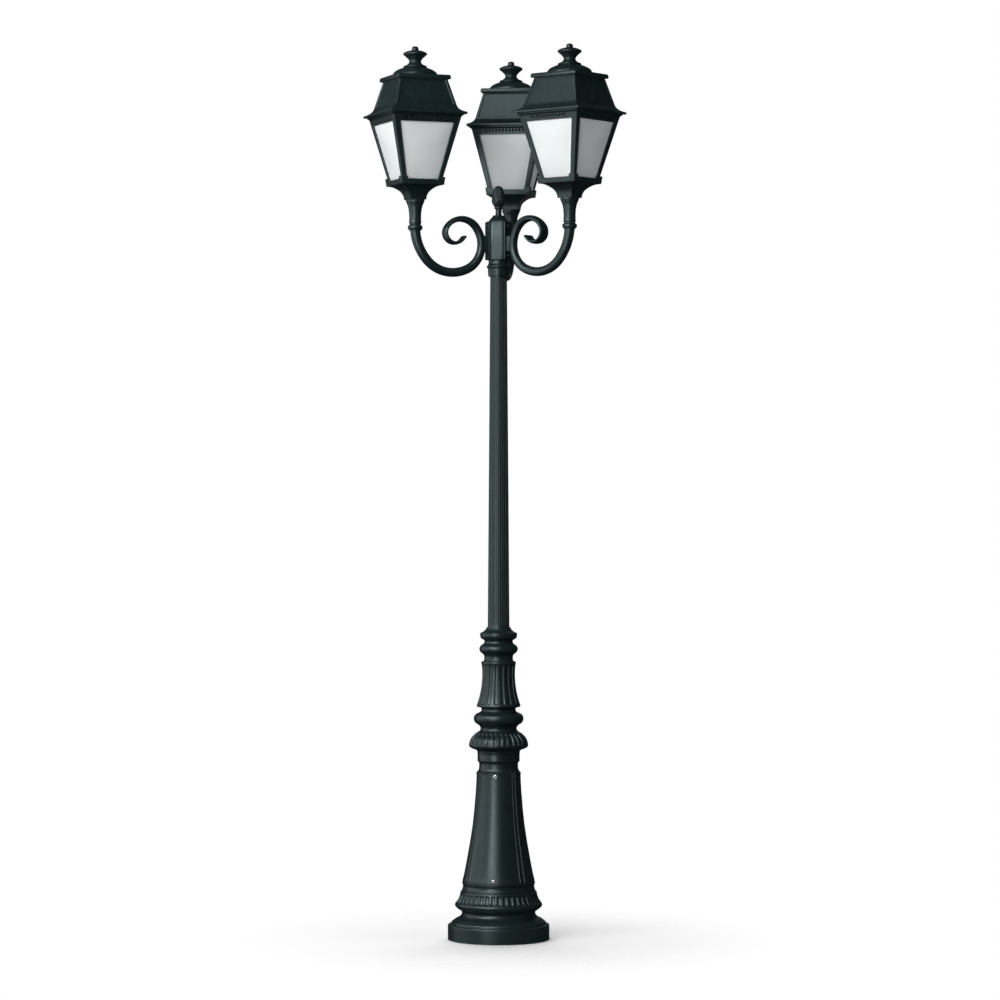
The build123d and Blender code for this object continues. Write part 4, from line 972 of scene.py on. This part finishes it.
def tray_part(deg):
    cove = curve([(24.4, 2072.0), (24.7, 2075.0), (26.4, 2083.5), (30.8, 2093.0), (38.6, 2101.0), (48.6, 2107.8), (56.0, 2110.2),
                  (59.6, 2110.9)], step=2.0)
    rows = with_rc([(23.6, 2072.0)], 1.4) + with_rc(cove, 1.4) + with_rc([(62.2, 2111.0), (62.9, 2111.3), (63.2, 2112.0)], 1.6)
    below = len(rows)
    inner = [(60.0, 2115.0), (50.0, 2115.0), (43.0, 2110.0), (34.2, 2104.0), (26.6, 2096.0), (22.0, 2087.0), (19.6, 2079.0),
             (7.4, 2079.0), (7.4, 2072.0)]
    grid = [square_ring(h, z, rc, deg, extras_tray) for h, z, rc in rows]
    n_face = 6
    per_side = n_face + 3

    def top_of(col):
        return 2125.3 if col % per_side in (2, 3) else 2132.4
    tops = np.array([top_of(c) for c in range(4 * per_side)])
    for frac, inset, drop in ((0.45, 0.0, 0.0), (1.0, 0.0, 0.6), (1.0, 0.25, 0.2), (1.0, 0.7, 0.0), (1.0, 2.3, 0.0), (1.0, 2.8, 0.4)):
        base = square_ring(63.2, 2112.0, 1.6, deg, extras_tray)
        high = square_ring(65.75, 2132.4, 1.6, deg, extras_tray)
        share = (tops - 2112.0) / (2132.4 - 2112.0)
        full = base + (high - base) * share[:, None]
        point = base + (full - base) * frac
        # inset: towards the lantern's axis
        if inset:
            inner_ring = square_ring(63.2 - inset, 2112.0, 1.6, deg, extras_tray)
            point[:, :2] += (inner_ring - base)[:, :2]
        point[:, 2] -= drop
        grid.append(point)
    for h, z in inner:
        grid.append(square_ring(h, z, 1.2, deg, extras_tray))
    return shell(np.array(grid), wrap_rows=True)


def pane_parts(deg):
    out = []
    z0, z1 = WIN_Z0 - 4.6, WIN_Z1 + 4.4
    for along in (0, 90, 180, 270):
        n = direction(deg + along)
        origin = ARM_R * direction(deg) + n * frame_h(z0) + UP * z0 - (FRAME_T + 0.05) * (CL * n - SL * UP)
        axes = (sideways(deg + along), SL * n + CL * UP, CL * n - SL * UP)
        rise = (z1 - z0) / CL
        grid = []
        for inset, depth in ((None, -2.95), (0.5, -2.95), (0.0, -2.5), (0.0, -0.5), (0.15, -0.15), (0.5, 0.0), (None, 0.0)):
            if inset is None:
                ring = [(0.0, rise / 2)] * 16
            else:
                lo, hi = WIN_W0 + 3.2 - inset, WIN_W1 + 4.8 - inset
                ring = []
                for q in np.linspace(0, 1, 5)[:-1]:
                    ring.append((-lo + 2 * lo * q, inset))
                for q in np.linspace(0, 1, 5)[:-1]:
                    ring.append((lo + (hi - lo) * q, inset + (rise - 2 * inset) * q))
                for q in np.linspace(0, 1, 5)[:-1]:
                    ring.append((hi - 2 * hi * q, rise - inset))
                for q in np.linspace(0, 1, 5)[:-1]:
                    ring.append((-hi + (hi - lo) * q, rise - inset - (rise - 2 * inset) * q))
            grid.append([(x, y, depth) for x, y in ring])
        out.append(shell(place(np.array(grid), origin, axes)))
    return out


HIP_EDGE = 7.4


def extras_roof(h, rc, z):
    a = h - HIP_EDGE
    return (-a, -a + 1.5, -a * 0.5, 0.0, a * 0.5, a - 1.5, a)


def roof_part(deg):
    under = [(93.6, 2305.0), (96.0, 2305.0), (111.6, 2305.0)]
    eave = curve([(112.4, 2305.0), (113.22, 2306.2), (113.22, 2310.2), (112.3, 2311.2), (107.0, 2313.0), (101.6, 2315.8), (97.0, 2319.2),
                  (93.4, 2323.4), (91.2, 2327.2), (90.6, 2328.9)], step=1.1, corner=55.0)
    rows = with_rc(under, 1.0) + with_rc(eave, 1.2)
    hip = [2329.6, 2331.6, 2333.2] + list(np.linspace(2340.0, 2392.0, 8)) + [2397.4, 2399.0, 2401.2, 2403.7]
    rows += [(90.6 + (70.4 - 90.6) * (z - 2328.9) / (2403.7 - 2328.9), z, 1.6) for z in hip]
    rows += [(0, 2403.7, 1.0)]
    n_outer = len(rows)
    rows += [(0, 2400.0, 1.0), (67.4, 2400.0, 1.0), (86.8, 2329.0, 1.0), (92.6, 2311.0, 1.0)]
    n_us, arc = 9, 3
    per_side = n_us + arc
    grid = []
    for i, (h, z, rc) in enumerate(rows):
        if h <= 0:
            ring = np.tile(ARM_R * direction(deg) + UP * z, (4 * per_side, 1))
        else:
            ring = square_ring(h, z, rc, deg, extras_roof, arc)
            if 2332.9 < z < 2399.6 and i < n_outer:
                for k in range(4):
                    n = direction(deg + 90.0 * k)
                    out_normal = np.array([n[0] * 0.965, n[1] * 0.965, 0.262])
                    for c in range(2, 7):
                        ring[k * per_side + c] -= 1.9 * out_normal
        grid.append(ring)
    return shell(np.array(grid), wrap_rows=True)


def cap_parts(deg):
    plate = curve([(76.2, 2403.7), (76.8, 2404.0), (77.9, 2407.6), (77.7, 2409.6), (76.2, 2414.9), (75.4, 2415.5)], step=1.0, corner=50.0)
    rows = with_rc([(66.0, 2403.7)], 1.0) + with_rc(plate, 1.5) + [(0, 2415.5, 1.0)] + [(0, 2411.0, 1.0), (64.0, 2411.0, 1.0)]
    c = ARM_R * direction(deg)
    dome = curve([(63.4, 2414.0), (63.4, 2415.8), (62.8, 2420.0), (60.2, 2425.0), (55.6, 2429.6), (48.8, 2433.6), (40.6, 2437.0),
                  (33.0, 2440.0), (31.0, 2440.7)], step=1.4, corner=40.0)
    dome_rows = np.vstack([[(0, 2414.0)], dome, [(0, 2441.2)]])
    dome_part = shell(around(dome_rows, round_ts, axis=c[:2]))
    return [square_loft(rows, deg), dome_part]


def bed_part(deg):
    prof = curve([(99.4, 2295.4), (100.4, 2297.6), (101.8, 2299.8), (103.6, 2301.2), (104.9, 2301.8), (105.0, 2304.6)], step=0.8, corner=45.0)
    rows = with_rc(prof, 2.0) + with_rc([(97.4, 2304.6), (97.4, 2296.2)], 1.2)
    return square_loft(rows, deg)


FINIAL = [(32.0, 2441.0), (32.9, 2441.8), (32.8, 2443.4), (31.6, 2444.6), (28.0, 2446.0), (22.4, 2448.8), (18.4, 2452.4), (16.6, 2456.6),
          (16.9, 2459.4), (19.4, 2463.6), (24.0, 2468.6), (29.4, 2473.2), (32.8, 2476.0), (33.6, 2478.0), (33.0, 2480.2), (29.4, 2482.8),
          (23.4, 2485.4), (16.0, 2487.4), (10.6, 2488.4), (9.7, 2489.4), (9.6, 2493.0), (8.8, 2496.0), (6.6, 2498.6), (3.4, 2499.8)]

for side, deg in SIDES.items():
    c = ARM_R * direction(deg)
    out, cross = direction(deg), sideways(deg)
    plate_axes = (cross, UP, out)
    emit("arm_" + side, [arm_part(deg), slab(22.0, 46.0, 5.0, 35.0, 50.0, 0.6, UP * 1954.0, plate_axes)], PAINT, "root",
         ["arm_" + side], sharp=38.0)
    emit("arm_plate_" + side, [slab(32.0, 107.5, 5.0, 30.0, 35.0, 1.1, UP * 1963.25, plate_axes, 0.3, 6)], PAINT, "root",
         ["arm_plate_" + side])
    neck = np.vstack([curve(NECK_PTS, step=1.1, corner=42.0), [(6.7, 2072.0), (6.7, 2028.0), (9.0, 2024.0), (9.0, 1996.0), (14.7, 1996.0)]])
    emit("arm_neck_" + side, [shell(around(neck, round_ts, axis=c[:2]), wrap_rows=True)], PAINT, "root", ["arm_neck_" + side])
    emit("lantern_base_" + side, [tray_part(deg)], PAINT, "root", ["lantern_base_" + side], sharp=28.0)
    lug_list = []
    for along in (90, 270):
        n, s = direction(deg + along), sideways(deg + along)
        lug_list.append(slab(10.6, 14.0, 1.5, -7.6, 0.0, 0.5, c + n * 94.6 + UP * 2304.5, (n, s, UP)))
    emit("lantern_frame_" + side, [frame_part(deg), bed_part(deg)] + lug_list, PAINT, "root", ["lantern_frame_" + side],
         heal=True, weld=1e-5, sharp=24.0)
    emit("lantern_panes_" + side, pane_parts(deg), OPAL, "root", ["lantern_panes_" + side], sharp=30.0)

    roof_body = "roof_" + side
    emit("roof_" + side, [roof_part(deg)], ROOF_PAINT_PAINTED_LIGHTER, roof_body, ["roof_" + side], sharp=27.0)
    emit("roof_cap_" + side, cap_parts(deg), PAINT, roof_body, ["roof_cap_" + side], sharp=28.0)
    fin = np.vstack([[(0, 2390.0), (4.0, 2390.0), (4.0, 2440.0), (20.0, 2440.6)], curve(FINIAL, step=0.9, corner=44.0), [(0, 2500.0)]])
    emit("roof_finial_" + side, [shell(around(fin, round_ts, axis=c[:2]))], PAINT, roof_body, ["roof_finial_" + side])
    emit("roof_screws_" + side,
         [screw_head(c + 97.5 * direction(deg + along) + UP * 2317.8, UP, 3.8, 2.6, 1.5, 1.4, 1.9, 19.0, 0.4) for along in (90, 270)],
         DARK_SCREW, roof_body, ["roof_screws_" + side])

    # lamp holder and lamp
    holder = curve([(20.4, 2112.0), (21.0, 2112.6), (21.0, 2115.4), (20.0, 2116.6), (18.9, 2117.6), (18.6, 2119.0), (18.6, 2147.6),
                    (19.0, 2148.6), (19.6, 2149.2), (19.6, 2151.4), (19.1, 2152.0), (15.0, 2152.0), (14.2, 2151.4)], step=1.6, corner=60.0)
    holder_rows = np.vstack([[(6.7, 2112.0)], holder, [(14.0, 2150.0), (14.0, 2126.0), (6.7, 2126.0)]])
    hold_ts = np.arange(-180, 180, 3.75)
    grip = np.zeros((len(holder_rows), len(hold_ts)))
    zz = holder_rows[:, 1:2]
    grip += -0.5 * (np.abs(np.sin(np.radians(hold_ts * 12)))[None, :] > 0.7) * ((zz > 2121) & (zz < 2145) & (holder_rows[:, :1] > 16))
    emit("lamp_holder_" + side, [shell(around(holder_rows, hold_ts, grip, axis=c[:2]), wrap_rows=True)], PORCELAIN, "root",
         ["lamp_holder_" + side])
    glass = curve([(12.6, 2149.0), (13.2, 2150.0), (14.6, 2154.0), (17.0, 2162.0), (20.6, 2171.0), (25.0, 2181.0), (28.4, 2191.0),
                   (30.0, 2202.0), (29.4, 2212.0), (26.6, 2221.0), (21.6, 2228.6), (14.6, 2233.8), (7.0, 2236.4)], step=2.0)
    glass_rows = np.vstack([[(0, 2149.0)], glass, [(0, 2237.0)]])
    emit("lamp_bulb_" + side, [shell(around(glass_rows, np.arange(-180, 180, 4.5), axis=c[:2]))], BULB, "lamp_" + side,
         ["lamp_bulb_" + side], sharp=60.0)
    thread = []
    for k in range(46):
        zt = 2131.6 + 0.4 * k
        thread.append((12.75 + 0.42 * sin(2 * pi * (zt - 2131.6) / 3.6), zt))
    cap_prof = np.array([(0, 2126.7), (4.6, 2126.7), (5.2, 2127.2), (8.6, 2130.2), (12.2, 2131.2)] + thread + [(12.5, 2150.4), (0, 2150.4)])
    emit("lamp_cap_" + side, [shell(around(cap_prof, np.arange(-180, 180, 6.0), axis=c[:2]))], NICKEL, "lamp_" + side, (),
         sharp=50.0)

plate_screws = []
for deg in SIDES.values():
    for z in (1922.0, 2005.0):
        plate_screws.append(screw_head(direction(deg) * 35.0 + UP * z, direction(deg), 4.8, 3.2, 2.0, 1.9, 2.6, 8.4, 0.42))
emit("arm_plate_screws", plate_screws, DARK_SCREW, "root", ["arm_plate_screws"])

# ------------------------------------------------------------------ what the door and the roofs uncover
AX = ((1, 0, 0), (0, 0, 1), (0, -1, 0))
fuse = [slab(52.0, 110.0, 4.0, -46.2, -6.0, 0.8, (0, 0.0, 285.0), AX, 0.6),
        slab(50.4, 108.4, 3.6, -7.0, 8.9, 2.6, (0, 0.0, 285.0), AX, 0.2, 6),
        slab(34.0, 30.0, 2.0, 8.0, 9.9, 0.7, (0, 0.0, 303.0), AX, 0.2)]
emit("fuse_box", fuse, GREY_PLASTIC, "root", ["fuse_box"])
lids = [slab(30.0, 26.0, 1.4, 9.2, 9.98, 0.4, (0, 0.0, 303.0), AX, 0.2)]
emit("fuse_box_window", lids, SMOKE_PLASTIC, "root", ())
box_screws = [screw_head((x, -8.6, 285.0 + z), FRONT, 2.8, 1.3, 1.1, 1.0, 1.4, 5.0, 0.4) for x in (-20.5, 20.5) for z in (-48.0, 48.0)]
emit("fuse_box_screws", box_screws, ZINC, "root", ())


# ------------------------------------------------------------------ finishes on the CAD pieces that stay
STAY = {
    "anchor_flange": (ZINC, "zinc_steel"), "base_bolts": (ZINC, "zinc_steel"), "pedestal_bolts": (ZINC, "zinc_steel"),
    "gear_rail": (ZINC, "zinc_steel"), "pole_nut_lower": (ZINC, "zinc_steel"), "pole_nut_upper": (ZINC, "zinc_steel"),
    "lantern_fixing_studs": (ZINC, "zinc_steel"), "earth_stud": (BRASS, "brass"), "terminal_block": (GREY_PLASTIC, "grey_plastic"),
    "mast_cable": (SHEATH, "cable_sheath"), "lead_wire_right": (SHEATH, "cable_sheath"), "lead_wire_left": (SHEATH, "cable_sheath"),
    "lead_wire_rear": (SHEATH, "cable_sheath"),
}
for name, (material, slot_name) in STAY.items():
    node = NODES[name]
    node.data.materials.clear()
    node.data.materials.append(material)
    if name not in ("mast_cable", "lead_wire_right", "lead_wire_left", "lead_wire_rear"):
        bevel = node.modifiers.new("edge", "BEVEL")
        bevel.width, bevel.segments, bevel.limit_method, bevel.angle_limit = 0.0004, 2, "ANGLE", radians(50)

# ------------------------------------------------------------------ stage: floor, world, lamps
floor_mesh = bpy.data.meshes.new("floor")
bm = bmesh.new()
bmesh.ops.create_circle(bm, cap_ends=True, segments=96, radius=9.0)
bm.to_mesh(floor_mesh)
bm.free()
floor = bpy.data.objects.new("floor", floor_mesh)
floor.location = (0, 0, -0.0006)
bpy.context.scene.collection.objects.link(floor)
floor.visible_glossy = False
fm = Nodes("pale_floor")
plain = fm.noise(3.0, 2.0, 0.5)
fm.set(color=fm.mix(plain, (0.70, 0.70, 0.70, 1.0), (0.68, 0.68, 0.685, 1.0)), rough=0.75, spec=0.2)
dist = fm.add("ShaderNodeVectorMath", {0: fm.coords}, operation="LENGTH").outputs["Value"]
away = fm.add("ShaderNodeMapRange", {"Value": dist, "From Min": 0.18, "From Max": 0.84}, interpolation_type="SMOOTHSTEP").outputs["Result"]
clear = fm.tree.nodes.new("ShaderNodeBsdfTransparent")
blend = fm.tree.nodes.new("ShaderNodeMixShader")
fm.tree.links.new(away, blend.inputs[0])
fm.tree.links.new(fm.shader.outputs[0], blend.inputs[1])
fm.tree.links.new(clear.outputs[0], blend.inputs[2])
fm.tree.links.new(blend.outputs[0], fm.tree.nodes["Material Output"].inputs["Surface"])
floor_mesh.materials.append(fm.mat)

world = bpy.data.worlds.new("studio")
bpy.context.scene.world = world
world.use_nodes = True
wt = world.node_tree
back = wt.nodes["Background"]
back.inputs["Color"].default_value = (1.0, 1.0, 1.0, 1.0)
back.inputs["Strength"].default_value = 1.0
dim = wt.nodes.new("ShaderNodeBackground")
dim.inputs["Color"].default_value = (0.93, 0.97, 1.0, 1.0)
dim.inputs["Strength"].default_value = 0.017
path = wt.nodes.new("ShaderNodeLightPath")
pick = wt.nodes.new("ShaderNodeMixShader")
wt.links.new(path.outputs["Is Camera Ray"], pick.inputs[0])
wt.links.new(dim.outputs[0], pick.inputs[1])
wt.links.new(back.outputs[0], pick.inputs[2])
wt.links.new(pick.outputs[0], wt.nodes["World Output"].inputs["Surface"])


def softbox(name, azimuth, elevation, distance, width, height, power, target=(0, 0, 1.25), glossy=True):
    """Area lamp at an azimuth measured from the photograph's camera, towards its right."""
    a, e = radians(azimuth) + AZ, radians(elevation)
    pos = Vector(target) + Vector((sin(a) * cos(e), -cos(a) * cos(e), sin(e))) * distance
    data = bpy.data.lights.new(name, "AREA")
    data.shape, data.size, data.size_y, data.energy = "RECTANGLE", width, height, power
    lamp = bpy.data.objects.new(name, data)
    lamp.location = pos
    lamp.rotation_euler = (Vector(target) - pos).to_track_quat("-Z", "Y").to_euler()
    lamp.visible_camera = False
    lamp.visible_glossy = glossy
    bpy.context.scene.collection.objects.link(lamp)
    return lamp


softbox("key", -12.0, 6.0, 4.2, 1.0, 2.2, 22.0, (0, 0, 1.9))
softbox("key_low", -26.0, 4.0, 4.2, 1.3, 1.6, 42.0, (0, 0, 0.5))
softbox("high_left", -42.0, 30.0, 4.6, 3.8, 1.8, 165.0)
softbox("left_wall", -95.0, 6.0, 3.6, 3.6, 4.0, 45.0)
softbox("left_front", -60.0, 3.0, 4.5, 2.2, 3.2, 17.0)
softbox("back_top", 180.0, 56.0, 4.5, 4.5, 4.0, 300.0, glossy=False)
softbox("right_fill", 75.0, 8.0, 4.0, 3.0, 3.4, 46.0, glossy=False)
softbox("high_front", -16.0, 50.0, 4.4, 1.4, 1.0, 20.0, (0, 0, 2.0))
softbox("back_wall", 176.0, 16.0, 5.5, 3.2, 3.2, 4.0)

view_settings = bpy.context.scene.view_settings
view_settings.view_transform = "Standard"
view_settings.look = "None"
